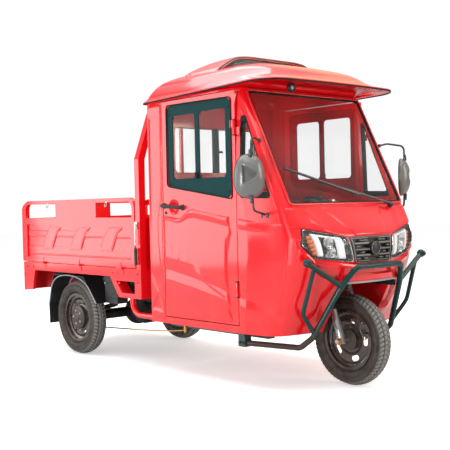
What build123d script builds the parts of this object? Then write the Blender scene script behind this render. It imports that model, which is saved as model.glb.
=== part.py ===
"""Enclosed electric cargo tricycle: a single-wheel front, a two-door cab and a drop-side load bed.

Row frame, millimetres: +X points to the front, +Y to the left, +Z up. The origin is on the
ground under the middle of the vehicle. Stations along the vehicle are given as distances ahead
of the rear axle, because that is how such a frame is set out.
"""
from build123d import *
import math
import os

os.makedirs("parts", exist_ok=True)

# Wheels and axles
wheel_base = 2080
tyre_radius = 255
front_tyre_width = 100
rear_tyre_width = 112
rear_track = 896            # between the middles of the rear tyres
rim_flange_radius = 168
rim_seat_radius = 158
rim_inner_radius = 152
rim_well_radius = 141
rim_well_half = 11
rim_sheet = 5
rim_half_width = 36
flange_thickness = 6
axle_clearance = 0.05       # running clearance of every wheel and stem bore
steering_rake = 17          # degrees back from upright
fork_offset = 35            # axle ahead of the steering axis

# Cab, stations ahead of the rear axle
cab_back = 945
cab_half_width = 535
cab_wall = 30
cab_floor_z = 315
cab_floor_thickness = 28
gutter_z = 1656
cowl_z = 1000               # top of the nose panel, where the windscreen starts
door_back = 1090
door_front = 1738
door_bottom_z = 359
door_top_z = 1638
door_gap = 5
door_thickness = 30

# Wheel slot in the nose
slot_half_width = 205
slot_back = 1795
slot_top_z = 590
slot_wall = 14

# Load bed, stations ahead of the rear axle
bed_back = -586
bed_front = 816
bed_half_width = 560
bed_rail_z = 573            # underside of the outer bed rail
bed_rail_height = 57
bed_rail_width = 40
board_thickness = 32
board_top_z = 1078
board_panel_top_z = 948
board_gap = 5               # between a board and what it stands on
floor_plate = 8
post_width = 44
hinge_radius = 8
hinge_out = 14              # hinge axis outside the face of its board
hinge_drop = 2.5            # hinge axis below the board's lower edge

rear_overhang = -bed_back + board_gap + board_thickness + hinge_out + hinge_radius
overall_length = rear_overhang + wheel_base + tyre_radius
rear_axle_x = rear_overhang - overall_length / 2


def at(ahead):
    """The X of a station that lies so far ahead of the rear axle."""
    return rear_axle_x + ahead


front_axle_x = at(wheel_base)


def block(x0, x1, y0, y1, z0, z1):
    """A box from its lowest and highest corners."""
    return Pos((x0 + x1) / 2, (y0 + y1) / 2, (z0 + z1) / 2) * Box(
        abs(x1 - x0), abs(y1 - y0), abs(z1 - z0)
    )


def side_prism(points, y0, y1, radius=0):
    """A plate cut to an outline of (x, z) points, standing between two values of Y."""
    outline = make_face(Polyline(*[(x, y0, z) for x, z in points], close=True))
    if radius:
        outline = fillet(outline.vertices(), radius)
    return extrude(outline, amount=abs(y1 - y0), dir=(0, 1 if y1 > y0 else -1, 0))


def front_prism(points, x0, x1, radius=0):
    """A plate cut to an outline of (y, z) points, between two values of X."""
    outline = make_face(Polyline(*[(x0, y, z) for y, z in points], close=True))
    if radius:
        outline = fillet(outline.vertices(), radius)
    return extrude(outline, amount=abs(x1 - x0), dir=(1 if x1 > x0 else -1, 0, 0))


def rod(start, end, radius):
    """A straight round bar between two points."""
    line = Vector(*end) - Vector(*start)
    plane = Plane(origin=start, z_dir=line)
    return extrude(plane * Circle(radius), amount=line.length)


def tube(points, radius, bends):
    """A round bar bent through points, with the bend radius given at each inner point."""
    path = FilletPolyline(*points, radius=bends)
    return sweep(Plane(origin=path @ 0, z_dir=path % 0) * Circle(radius), path=path)


def ring(outer, inner, y0, y1, x, z):
    """A flat ring about a wheel axis, between two values of Y."""
    face = Plane(origin=(x, y0, z), z_dir=(0, 1, 0)) * (Circle(outer) - Circle(inner))
    return extrude(face, amount=y1 - y0)


def disc(radius, y0, y1, x, z):
    """A round plate about a wheel axis, between two values of Y."""
    return extrude(
        Plane(origin=(x, y0, z), z_dir=(0, 1, 0)) * Circle(radius), amount=y1 - y0
    )


def fused(pieces):
    """One shape from a list of overlapping or touching pieces."""
    whole = pieces[0]
    for piece in pieces[1:]:
        whole = whole + piece
    return whole


def save(node, shape):
    """Writes one node, with every solid of the shape in it."""
    solids = shape.solids() if hasattr(shape, "solids") else [s for p in shape for s in p.solids()]
    export_step(Compound(children=list(solids)), "parts/" + node + ".step")


sides = (("right", -1), ("left", 1))

# Wheels

hub_bore_radius = 12


def tyre(x, y, width):
    """A tyre as a solid ring, its sidewalls bulging past the rim flanges."""
    half = width / 2
    seat_half = rim_half_width - flange_thickness - 0.5
    profile = [
        Line((rim_seat_radius, -seat_half), (rim_seat_radius, seat_half)),
        Line((rim_seat_radius, seat_half), (rim_flange_radius + 3, seat_half)),
        Line((rim_flange_radius + 3, seat_half), (184, half - 4)),
        ThreePointArc((184, half - 4), (212, half), (236, half - 7)),
        ThreePointArc((236, half - 7), (247, half - 20), (252, half - 36)),
        ThreePointArc((252, half - 36), (tyre_radius, 0), (252, 36 - half)),
        ThreePointArc((252, 36 - half), (247, 20 - half), (236, 7 - half)),
        ThreePointArc((236, 7 - half), (212, -half), (184, 4 - half)),
        Line((184, 4 - half), (rim_flange_radius + 3, -seat_half)),
        Line((rim_flange_radius + 3, -seat_half), (rim_seat_radius, -seat_half)),
    ]
    plane = Plane(origin=(x, y, tyre_radius), x_dir=(1, 0, 0), z_dir=(0, 0, 1))
    face = plane * make_face(Wire(profile))
    axis = Axis((x, y, tyre_radius), (0, 1, 0))
    return revolve(face, axis=axis, revolution_arc=360)


def rim(x, y, face_side, dish, hub_radius, hub_from, hub_to, holes, hole_size, hole_circle):
    """A pressed steel rim: a barrel with its drop centre, a dished and holed disc, and the hub.

    The dish is a table of (distance out from the wheel's middle, radius), from barrel to hub.
    """
    half, well = rim_half_width, rim_well_half
    tread_side = [
        (-half, rim_flange_radius),
        (-half + flange_thickness, rim_flange_radius),
        (-half + flange_thickness, rim_seat_radius),
        (-well - 5, rim_seat_radius),
        (-well, rim_well_radius),
    ]
    tread_side += [(-a, r) for a, r in tread_side[::-1]]
    hub_side = [(well, rim_well_radius - rim_sheet), (well + 5, rim_inner_radius), (half, rim_inner_radius)]
    hub_side = hub_side[::-1] + [(-a, r) for a, r in hub_side]
    disc_out = [(a, r) for a, r in dish] + [(a - rim_sheet, r) for a, r in dish[::-1]]
    pieces = []
    for outline in (tread_side + hub_side, disc_out):
        points = [(r, face_side * a) for a, r in outline]
        plane = Plane(origin=(x, y, tyre_radius), x_dir=(1, 0, 0), z_dir=(0, 0, 1))
        face = plane * make_face(Polyline(*points, close=True))
        pieces.append(revolve(face, axis=Axis((x, y, tyre_radius), (0, 1, 0)), revolution_arc=360))
    low, high = sorted((y + face_side * hub_from, y + face_side * hub_to))
    body = fused([*pieces, disc(hub_radius, low, high, x, tyre_radius)])
    long, short = hole_size
    for k in range(holes):
        turn = 360 / holes * k
        hole = Plane(origin=(x, y - 40, tyre_radius), x_dir=(1, 0, 0), z_dir=(0, 1, 0))
        hole = hole * (Rot(0, 0, turn) * (Pos(hole_circle, 0) * (Rot(0, 0, 90) * SlotOverall(long, short))))
        body = body - extrude(hole, amount=80)
    return body - disc(hub_bore_radius + axle_clearance, low - 5, high + 5, x, tyre_radius)


hub_inboard = -46
hub_outboard = 30
rear_hub_radius = 78
front_hub_radius = 58
front_dish = ((8, 138), (12, 127), (12, 86), (6, 72), (6, 50))
rear_dish = ((2, 138), (6, 131), (12, 122), (12, 102), (4, 90), (6, 84), (6, 70))
front_hole = (54, 30)
rear_hole = (30, 12)

save("front_tyre", tyre(front_axle_x, 0, front_tyre_width))
save(
    "front_rim",
    rim(front_axle_x, 0, -1, front_dish, front_hub_radius, -hub_outboard, hub_outboard, 5, front_hole, 107),
)
for side, s in sides:
    wheel_y = s * rear_track / 2
    save("rear_tyre_" + side, tyre(rear_axle_x, wheel_y, rear_tyre_width))
    save(
        "rear_rim_" + side,
        rim(rear_axle_x, wheel_y, s, rear_dish, rear_hub_radius, hub_inboard, hub_outboard, 6, rear_hole, 112),
    )

# Steering: fork, front axle and handlebar turn about the raked axis

rake = math.radians(steering_rake)
steer_foot_x = front_axle_x - fork_offset
stem_radius = 16
leg_half_spread = 86
leg_radius = 17
slider_radius = 21
crown_z = 548
leg_top_z = crown_z + 12
head_low_z = 640
head_high_z = 800
handlebar_z = 985


def on_axis(z, forward=0.0):
    """The X of the steering axis, or of a line parallel to it, at height z."""
    return steer_foot_x + forward - (z - tyre_radius) * math.tan(rake)


stem = rod((on_axis(crown_z), 0, crown_z), (on_axis(handlebar_z), 0, handlebar_z), stem_radius)
crown = block(-32, fork_offset + 24, -leg_half_spread - 24, leg_half_spread + 24, -9, 9)
crown = Pos(on_axis(crown_z), 0, crown_z) * (Rot(0, -steering_rake, 0) * crown)
legs = []
for side, s in sides:
    y = s * leg_half_spread
    top = (on_axis(leg_top_z, fork_offset), y, leg_top_z)
    middle = (on_axis(430, fork_offset), y, 430)
    foot = (on_axis(238, fork_offset), y, 238)
    legs += [rod(top, middle, leg_radius), rod(middle, foot, slider_radius)]
axle = disc(hub_bore_radius, -leg_half_spread - 40, leg_half_spread + 40, front_axle_x, tyre_radius)
save("front_fork", fused([stem, crown, *legs, axle]))

bar_x = on_axis(handlebar_z)
bar_half = 330
bar_points = [
    (bar_x - 120, -bar_half, handlebar_z + 30),
    (bar_x - 20, -150, handlebar_z + 40),
    (bar_x, -60, handlebar_z + 10),
    (bar_x, 60, handlebar_z + 10),
    (bar_x - 20, 150, handlebar_z + 40),
    (bar_x - 120, bar_half, handlebar_z + 30),
]
save("handlebar", tube(bar_points, 11, [60, 50, 50, 60]) - stem)

# Rear axle, springs and motor

axle_tube_radius = 36
stub_length = 40
spring_y = 325
spring_width = 58
rail_y = 300
rail_width = 50
rail_top_z = bed_rail_z
rail_bottom_z = 493
drum_inner_y = rear_track / 2 + hub_inboard - 2

beam = disc(axle_tube_radius, -drum_inner_y, drum_inner_y, rear_axle_x, tyre_radius)
stub = disc(hub_bore_radius, -rear_track / 2 - stub_length, rear_track / 2 + stub_length, rear_axle_x, tyre_radius)
housing = Pos(rear_axle_x, 40, tyre_radius) * Sphere(100)
save("rear_axle", fused([beam, stub, housing]))
motor_x = rear_axle_x + 165
save("drive_motor", disc(82, -60, 200, motor_x, tyre_radius + 12) - housing)

spring_half_span = 420
spring_eye_z = 430
spring_seat_z = tyre_radius + axle_tube_radius
spring_leaf = 9
leaf_count = 4
hanger_height = rail_bottom_z - spring_eye_z


def leaf(span, top, bottom):
    """One curved leaf over the axle, its ends raised in proportion to the span squared."""
    rise = (spring_eye_z - spring_seat_z - 20) * (span / spring_half_span) ** 2
    x = rear_axle_x
    outline = [
        ThreePointArc((x - span, 0, top + rise), (x, 0, top), (x + span, 0, top + rise)),
        Line((x + span, 0, top + rise), (x + span, 0, bottom + rise)),
        ThreePointArc((x + span, 0, bottom + rise), (x, 0, bottom), (x - span, 0, bottom + rise)),
        Line((x - span, 0, bottom + rise), (x - span, 0, top + rise)),
    ]
    return extrude(make_face(Wire(outline)), amount=spring_width, dir=(0, 1, 0))


springs = []
for side, s in sides:
    leaves = [
        leaf(spring_half_span - 95 * k, spring_seat_z + spring_leaf * (leaf_count - k), spring_seat_z + spring_leaf * (leaf_count - k - 1))
        for k in range(leaf_count)
    ]
    stack = Pos(0, s * spring_y - spring_width / 2, 0) * fused(leaves)
    for end in (-1, 1):
        eye_x = rear_axle_x + end * spring_half_span
        hanger = block(eye_x - 22, eye_x + 22, s * spring_y - 24, s * spring_y + 24, spring_eye_z - 22, rail_bottom_z)
        stack = stack + hanger
    springs.append(stack)
save("leaf_springs", Compound(children=[x for k in springs for x in k.solids()]))

# Main frame: two rails that drop from the bed to the cab floor, with cross members

neck_x = at(1700)
frame_front = at(1750)
rail_outline = [
    (at(bed_back + 30), rail_top_z),
    (at(780), rail_top_z),
    (at(905), cab_floor_z),
    (frame_front, cab_floor_z),
    (frame_front, cab_floor_z - 55),
    (at(865), cab_floor_z - 55),
    (at(735), rail_bottom_z),
    (at(bed_back + 30), rail_bottom_z),
]
frame_pieces = []
for side, s in sides:
    frame_pieces.append(side_prism(rail_outline, s * rail_y - rail_width / 2, s * rail_y + rail_width / 2))
inner_rail = rail_y - rail_width / 2
for station in (-520, -330, 330, 640):
    frame_pieces.append(block(at(station) - 20, at(station) + 20, -inner_rail, inner_rail, rail_bottom_z + 10, rail_top_z - 10))
for station, reach in ((1000, inner_rail), (1620, 412)):
    frame_pieces.append(block(at(station) - 25, at(station) + 25, -reach, reach, cab_floor_z - 45, cab_floor_z))
bracket_y = 386
bar_tube_radius = 16
bar_rail_z = 236
for side, s in sides:
    frame_pieces.append(block(at(1592), at(1648), s * (bracket_y - 24), s * (bracket_y + 24), bar_rail_z - 22, cab_floor_z - 40))
frame = fused(frame_pieces)
for side, s in sides:
    frame = frame - rod((at(1580), s * bracket_y, bar_rail_z), (at(1660), s * bracket_y, bar_rail_z), bar_tube_radius)
save("main_frame", frame)

head_radius = 30
neck_outline = [
    (at(1690), cab_floor_z + cab_floor_thickness),
    (at(1760), cab_floor_z + cab_floor_thickness),
    (at(1760), slot_top_z + slot_wall),
    (on_axis(slot_top_z + slot_wall), slot_top_z + slot_wall),
    (on_axis(head_high_z), head_high_z),
    (at(1690), 690),
]
head = rod((on_axis(head_low_z), 0, head_low_z), (on_axis(head_high_z), 0, head_high_z), head_radius)
stem_hole = rod((on_axis(500), 0, 500), (on_axis(900), 0, 900), stem_radius + axle_clearance)
save("steering_head", side_prism(neck_outline, -32, 32) + head - stem_hole)

# Bed: rails, cross bearers, floor plate, front gantry and rear lamp bar

rail_in = bed_half_width - bed_rail_width
bed_rail_top_z = bed_rail_z + bed_rail_height
bed_tail = at(bed_back - 20)
bed_pieces = [block(bed_tail, bed_tail + 40, -bed_half_width, bed_half_width, bed_rail_z, bed_rail_top_z)]
bed_pieces.append(block(at(bed_front + 14), at(bed_front + 14 + post_width), -bed_half_width, bed_half_width, bed_rail_z, bed_rail_top_z))
for side, s in sides:
    bed_pieces.append(block(bed_tail, at(bed_front + 14 + post_width), s * rail_in, s * bed_half_width, bed_rail_z, bed_rail_top_z))
save("bed_rails", fused(bed_pieces))
bearer_top_z = bed_rail_top_z - floor_plate
bearer_stations = (-400, -130, 140, 410, 680)
bearers = [
    block(at(station) - 20, at(station) + 20, -rail_in, rail_in, bed_rail_z, bearer_top_z)
    for station in bearer_stations
]
save("bed_bearers", Compound(children=bearers))
post_back = at(bed_front + 14)
post_front = post_back + post_width
bracket_low_z = 444
bracket_outer = [
    (at(533), bed_rail_z),
    (at(630), bracket_low_z),
    (post_front, bracket_low_z),
    (post_front, bed_rail_z),
]
bracket_inner = [
    (at(600), bed_rail_z - 24),
    (at(652), bracket_low_z + 46),
    (at(662), bracket_low_z + 30),
    (post_back - 24, bracket_low_z + 30),
    (post_back - 24, bed_rail_z - 24),
]
bracket_depth = 76
skirt_thickness = 22
skirt_outline = [
    (bed_tail, bed_rail_z),
    (bed_tail, 418),
    (at(-481), 430),
    (at(-444), bed_rail_z),
]
brackets, skirts = [], []
for side, s in sides:
    plate = side_prism(bracket_outer, s * bed_half_width, s * (bed_half_width - bracket_depth))
    hole = side_prism(bracket_inner, s * (bed_half_width + 5), s * (bed_half_width - bracket_depth - 5))
    brackets.append(plate - hole)
    skirts.append(side_prism(skirt_outline, s * bed_half_width, s * (bed_half_width - skirt_thickness)))
save("side_brackets", Compound(children=[x for k in brackets for x in k.solids()]))
save("bed_floor", block(bed_tail + 40, post_back, -rail_in, rail_in, bearer_top_z, bed_rail_top_z))

gantry_bend_z = 1311
gantry_top_z = 1600
gantry_top_half = 455
post_in = bed_half_width - post_width
headboard_top_z = board_panel_top_z
gantry = []
for side, s in sides:
    outline = [
        (s * bed_half_width, bed_rail_top_z),
        (s * bed_half_width, gantry_bend_z),
        (s * gantry_top_half, gantry_top_z),
        (s * (gantry_top_half - post_width), gantry_top_z),
        (s * (post_in - 6), gantry_bend_z),
        (s * post_in, bed_rail_top_z),
    ]
    gantry.append(front_prism(outline, post_back, post_front))
gantry.append(block(post_back, post_front, -gantry_top_half + 20, gantry_top_half - 20, gantry_top_z - post_width, gantry_top_z))
gantry.append(block(post_back + 8, post_front - 8, -post_in - 2, post_in + 2, 1028, 1058))
gantry.append(block(post_back + 10, post_back + 24, -post_in - 2, post_in + 2, bed_rail_top_z, headboard_top_z))
for y in (-200, 200):
    gantry.append(block(post_back + 12, post_back + 32, y - 10, y + 10, 1050, gantry_top_z - 20))
for y in (-330, 0, 330):
    gantry.append(block(post_back + 12, post_back + 32, y - 12, y + 12, headboard_top_z - 40, 1040))
save("bed_gantry", fused(gantry))

lamp_bar_low_z = 424
lamp_bar_thickness = 26
skirt_in = bed_half_width - skirt_thickness
lamp_bar = block(bed_tail, bed_tail + lamp_bar_thickness, -skirt_in, skirt_in, lamp_bar_low_z, bed_rail_z)
plate_hole_radius = 3.5
plate_hole_spacing = 140
lamp_y = 410
lamp_size = (110, 64)
lamp_z = 500
lamp_pocket = 12
lamps = []
for side, s in sides:
    pocket = block(bed_tail - 1, bed_tail + lamp_pocket, s * lamp_y - lamp_size[0] / 2, s * lamp_y + lamp_size[0] / 2, lamp_z - lamp_size[1] / 2, lamp_z + lamp_size[1] / 2)
    lamp_bar = lamp_bar - pocket
    lamps.append(block(bed_tail - 8, bed_tail + lamp_pocket, s * lamp_y - lamp_size[0] / 2, s * lamp_y + lamp_size[0] / 2, lamp_z - lamp_size[1] / 2, lamp_z + lamp_size[1] / 2))
for y in (-plate_hole_spacing / 2, plate_hole_spacing / 2):
    lamp_bar = lamp_bar - rod((bed_tail - 5, y, lamp_z), (bed_tail + lamp_bar_thickness + 5, y, lamp_z), plate_hole_radius)
save("rear_skirt", fused([lamp_bar, *skirts]))
save("tail_lamps", Compound(children=lamps))

# Drop sides and tailboard

board_corner = 70
board_frame = 40
board_hinge_stations = (-337, 142, 637)
board_low_z = bed_rail_top_z + board_gap
hinge_z = board_low_z - hinge_drop
window_low_z = board_panel_top_z
rail_tube = 26
plate_recess = 5            # how far the name plate lies behind the rails


# The pressings of a board: low and high edge of each crease strip, and the outline of one wave
board_creases = ((56, 115), (188, 227))
board_wave = ((0, 101), (138, 101), (143, 122), (198, 211), (250, 251), (105, 253), (55, 213), (0, 122))


def board(length, plate_from, plate_to, ribs):
    """A drop side seen face on, standing on X from 0 to its length, its outer face at Y = 0.

    A frame around a recessed pressed panel, a tube loop above it and a name plate left blank.
    """
    h = board_top_z - board_low_z
    panel_h = board_panel_top_z - board_low_z
    outline = make_face(Polyline((0, 0, 0), (length, 0, 0), (length, 0, h), (0, 0, h), close=True))
    top_corners = [v for v in outline.vertices() if v.Z > h / 2]
    outline = fillet(top_corners, board_corner)
    solid = extrude(outline, amount=board_thickness, dir=(0, 1, 0))
    solid = solid - block(board_frame, length - board_frame, -1, 12, 34, panel_h - board_frame)
    solid = solid - block(board_frame, length - board_frame, 16, board_thickness + 1, 34, panel_h - board_frame)
    gap_low, gap_high = panel_h + 4, h - rail_tube
    for y0, y1 in ((-1, plate_recess), (board_thickness - plate_recess, board_thickness + 1)):
        solid = solid - block(plate_from, plate_to, y0, y1, gap_low, gap_high)
    for x0, x1 in ((rail_tube, plate_from), (plate_to, length - rail_tube)):
        cut = make_face(Polyline((x0, -1, gap_low), (x1, -1, gap_low), (x1, -1, gap_high), (x0, -1, gap_high), close=True))
        outer_top = [v for v in cut.vertices() if v.Z > gap_low + 1 and (v.X < rail_tube + 1 or v.X > length - rail_tube - 1)]
        cut = fillet(outer_top, board_corner - rail_tube)
        solid = solid - extrude(cut, amount=board_thickness + 2, dir=(0, 1, 0))
    solid = solid - block(plate_from, plate_to, -1, 6, gap_low, gap_high)
    solid = solid - block(plate_from, plate_to, 10, board_thickness + 1, gap_low, gap_high)
    for low, high in board_creases:
        solid = solid + block(board_frame, length - board_frame, 9, 13, low, high)
    for rib in ribs:
        pressed = make_face(Polyline(*[(rib + x, 5, z) for x, z in board_wave], close=True))
        solid = solid + extrude(pressed, amount=8, dir=(0, 1, 0))
    return solid


def knuckles(stations, axis_y, z, offset):
    """Hinge barrels along X, alternating by the offset so that board and rail parts interleave."""
    return [rod((at(x) + offset, axis_y, z), (at(x) + offset + 26, axis_y, z), hinge_radius) for x in stations]


side_length = bed_front - bed_back
pin_radius = 3.5
rail_knuckles = []
for side, s in sides:
    axis_y = s * (bed_half_width + hinge_out)
    panel = board(side_length, 444, 960, (256, 631, 1006))
    if s < 0:
        panel = Pos(at(bed_back), -bed_half_width, board_low_z) * panel
    else:
        panel = mirror(Pos(at(bed_back), -bed_half_width, board_low_z) * panel, about=Plane.XZ)
    for x, barrel in zip(board_hinge_stations, knuckles(board_hinge_stations, axis_y, hinge_z, 0)):
        leaf_plate = block(at(x), at(x) + 26, s * bed_half_width, s * (bed_half_width + 3), hinge_z + 4, hinge_z + 38)
        neck = block(at(x), at(x) + 26, s * bed_half_width, axis_y, hinge_z + 2, hinge_z + 7)
        bore = rod((at(x) - 5, axis_y, hinge_z), (at(x) + 40, axis_y, hinge_z), pin_radius + axle_clearance)
        panel = panel + leaf_plate + neck + barrel
        panel = panel - bore
    save("side_board_" + side, panel)
    for x in board_hinge_stations:
        barrel = rod((at(x) + 27, axis_y, hinge_z), (at(x) + 53, axis_y, hinge_z), hinge_radius)
        pin = rod((at(x) + 1, axis_y, hinge_z), (at(x) + 40, axis_y, hinge_z), pin_radius)
        plate = block(at(x) + 27, at(x) + 53, s * bed_half_width, s * (bed_half_width + 3), hinge_z - 38, hinge_z)
        neck = block(at(x) + 27, at(x) + 53, s * bed_half_width, axis_y, hinge_z - 7, hinge_z - 3)
        rail_knuckles.append(fused([barrel, pin, plate, neck]))

tail_half = bed_half_width - 4
tail_outer = at(bed_back) - board_gap - board_thickness
tail_axis_x = tail_outer - hinge_out
tail = board(2 * tail_half, 330, 782, (90, 430, 770))
tail = Pos(tail_outer, tail_half, board_low_z) * (Rot(0, 0, -90) * tail)
for y in (-400, 0, 400):
    barrel = rod((tail_axis_x, y, hinge_z), (tail_axis_x, y + 26, hinge_z), hinge_radius)
    leaf_plate = block(tail_outer - 3, tail_outer, y, y + 26, hinge_z + 4, hinge_z + 38)
    neck = block(tail_axis_x, tail_outer, y, y + 26, hinge_z + 2, hinge_z + 7)
    tail = tail + leaf_plate + neck + barrel
    tail = tail - rod((tail_axis_x, y - 5, hinge_z), (tail_axis_x, y + 40, hinge_z), pin_radius + axle_clearance)
    barrel = rod((tail_axis_x, y + 27, hinge_z), (tail_axis_x, y + 53, hinge_z), hinge_radius)
    pin = rod((tail_axis_x, y + 1, hinge_z), (tail_axis_x, y + 40, hinge_z), pin_radius)
    arm = block(tail_axis_x, bed_tail, y + 27, y + 53, hinge_z - 30, hinge_z - 3)
    rail_knuckles.append(fused([barrel, pin, arm]))
save("tailboard", tail)
save("bed_hinges", Compound(children=[x for k in rail_knuckles for x in k.solids()]))

# Latches that hold the drop sides to the gantry posts

latches = []
for side, s in sides:
    face = s * bed_half_width
    x = post_back + 14
    latches.append(block(x - 14, x + 14, face, face + s * 10, 880, 925))
    latches.append(rod((x, face + s * 15, 912), (x, face + s * 15, 780), 5))
    latches.append(block(x - 9, x + 9, face + s * 8, face + s * 22, 660, 780))
latch_sets = [fused(latches[0:3]), fused(latches[3:6])]
save("bed_latches", Compound(children=[x for k in latch_sets for x in k.solids()]))

# Rear mudguards and flaps, side boxes, battery and lower guard tubes

guard_in = 368
guard_out = 512
guard_sheet = 5
guard_line = [(-333, 330), (-268, 548), (130, 548), (286, 372)]
guard_tube_radius = 19
guard_tube_y = bed_half_width - bracket_depth / 2 - 17
mudguards, boxes, guards = [], [], []
for side, s in sides:
    outer = [(at(x), z) for x, z in guard_line]
    inner = [(at(x + dx), z - dz) for (x, z), (dx, dz) in zip(guard_line, ((6, -2), (4, 5), (-4, 5), (-6, -3)))]
    sheet = side_prism(outer + inner[::-1], s * guard_in, s * guard_out)
    cheek = side_prism([(at(-240), 548), (at(110), 548), (at(80), 520), (at(-205), 520)], s * (guard_in - 4), s * guard_in)
    hanger = block(at(bearer_stations[1] - 15), at(bearer_stations[1] + 15), s * guard_in, s * (guard_in + 60), 548, bed_rail_z)
    flap = side_prism([(at(-336), 335), (at(-330), 335), (at(-325), 190), (at(-331), 190)], s * guard_in, s * guard_out)
    mudguards.append(fused([sheet, cheek, hanger, flap]))
    boxes.append(block(at(300), at(445), s * 362, s * 445, 375, bed_rail_z))
    y = s * guard_tube_y
    points = [(at(706), y, bracket_low_z), (at(706), y, 335), (at(cab_back), y, 335)]
    guards.append(tube(points, guard_tube_radius, [86]))
save("rear_mudguards", Compound(children=[x for k in mudguards for x in k.solids()]))
save("lower_guard_tubes", Compound(children=[x for k in guards for x in k.solids()]))
boxes.append(block(at(395), at(700), -inner_rail, inner_rail, 385, rail_bottom_z + 10))
save("battery_boxes", Compound(children=boxes))

# Cab shell: two lofts give its skin and its inside, then panels are cut from it

# Each row is one level of the cab in plan: height, where the flat side ends, the front corner's
# station and half width, the station of the nose on the middle line, and the corner's rounding.
cab_levels = (
    # z, side_end, corner, corner_y, nose, rounding
    (315, 1790, 1990, 500, 2060, 70),
    (460, 1800, 2045, 502, 2150, 70),
    (600, 1810, 2085, 503, 2232, 70),
    (700, 1820, 2118, 504, 2248, 70),
    (832, 1820, 2140, 504, 2236, 70),
    (1000, 1800, 2078, 508, 2090, 60),
    (1656, 1600, 1754, 508, 1760, 50),
)


def cab_section(z, side_end, corner, corner_y, nose, rounding, inset):
    """The cab's outline at one level, drawn in by an inset."""
    back, side_y = at(cab_back) + inset, cab_half_width - inset
    x, y, front = at(corner) - inset, corner_y - inset, at(nose) - inset
    turn = (x - rounding, y + (side_y - y) * rounding / (x - at(side_end)))
    meet = (x + (front - x) * 2 * rounding / y * (1 - rounding / (2 * y)), y - rounding)
    middle = ((turn[0] + 2 * x + meet[0]) / 4, (turn[1] + 2 * y + meet[1]) / 4)
    right = lambda p: (p[0], -p[1], z)
    left = lambda p: (p[0], p[1], z)
    edges = [
        Line(left((back, side_y)), right((back, side_y))),
        Line(right((back, side_y)), right((at(side_end), side_y))),
        Line(right((at(side_end), side_y)), right(turn)),
        ThreePointArc(right(turn), right(middle), right(meet)),
        ThreePointArc(right(meet), (front, 0, z), left(meet)),
        ThreePointArc(left(meet), left(middle), left(turn)),
        Line(left(turn), left((at(side_end), side_y))),
        Line(left((at(side_end), side_y)), left((back, side_y))),
    ]
    return make_face(Wire(edges))


skin = loft([cab_section(*level, 0) for level in cab_levels], ruled=True)
inside = loft([cab_section(*level, cab_wall) for level in cab_levels], ruled=True)
shell = skin - inside

# Windscreen plane, from the cowl to the roof
screen_foot = (at(2084), cowl_z + 5)
screen_head = (at(1761), 1648)
screen_half_width = 474
seal_width = 18
screen_lean = math.atan2(screen_foot[0] - screen_head[0], screen_head[1] - screen_foot[1])
screen_length = math.hypot(screen_foot[0] - screen_head[0], screen_head[1] - screen_foot[1])
screen_plane = Plane(
    origin=((screen_foot[0] + screen_head[0]) / 2, 0, (screen_foot[1] + screen_head[1]) / 2),
    x_dir=(0, 1, 0),
    z_dir=(math.cos(screen_lean), 0, math.sin(screen_lean)),
)


def screen_sheet(inset, depth, thickness, radius):
    """A rounded sheet in the windscreen's plane, its front face sunk by the depth."""
    face = screen_plane * RectangleRounded(2 * (screen_half_width - inset), screen_length - 2 * inset, radius)
    sheet = extrude(face, amount=thickness, dir=screen_plane.z_dir)
    sink = screen_plane.z_dir * (-depth - thickness)
    return Pos(sink.X, sink.Y, sink.Z) * sheet


screen_hole = screen_sheet(0, -60, 160, 38)
window_seals = [screen_sheet(0, -4, 14, 38) - screen_sheet(seal_width, -40, 80, 24)]
save("windscreen", screen_sheet(seal_width, 1, 5, 24))

# Quarter windows beside the A-pillars
quarter_outline = [(at(1768), 1052), (at(1990), 1046), (at(1802), 1500), (at(1768), 1500)]


def quarter_sheet(s, inset, y0, y1, radius):
    """The quarter window's outline drawn in by an inset, as a plate between two values of Y."""
    middle_x = sum(p[0] for p in quarter_outline) / 4
    middle_z = sum(p[1] for p in quarter_outline) / 4
    shrink = 1 - inset / 110
    points = [(middle_x + (x - middle_x) * shrink, middle_z + (z - middle_z) * shrink) for x, z in quarter_outline]
    return side_prism(points, s * y0, s * y1, radius)


rear_window_half, rear_window_low, rear_window_high = 345, 1225, 1510
rear_window_outline = [
    (-rear_window_half, rear_window_low),
    (rear_window_half, rear_window_low),
    (rear_window_half, rear_window_high),
    (-rear_window_half, rear_window_high),
]
door_hole_low, door_hole_high = door_bottom_z - door_gap, door_top_z + door_gap
holes = [screen_hole]
for side, s in sides:
    holes.append(quarter_sheet(s, 0, 400, 600, 16))
    holes.append(block(at(door_back - door_gap), at(door_front + door_gap), s * 440, s * 600, door_hole_low, door_hole_high))
holes.append(front_prism(rear_window_outline, at(cab_back - 20), at(cab_back + 60), 30))
holes.append(block(at(slot_back), at(2400), -slot_half_width, slot_half_width, cab_floor_z - 20, slot_top_z))
for hole in holes:
    shell = shell - hole

seam = [(1950, 300), (2012, 462), (2060, 600), (2086, 700), (2100, 832), (2046, cowl_z), (2400, cowl_z), (2400, 300)]
nose_cutter = side_prism([(at(x), z) for x, z in seam], -700, 700)
rear_cutter = block(at(cab_back - 10), at(door_back - door_gap), -700, 700, 300, 1700)
nose = shell & nose_cutter

# Rolled lip over the wheel slot
lip_reach, lip_height = 22, 36
lip_half = slot_half_width + 34
lip_zone = block(at(2060), at(2400), -lip_half, lip_half, slot_top_z, slot_top_z + lip_height)
nose = nose + ((Pos(lip_reach, 0, 0) * skin) & lip_zone) - inside

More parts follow.
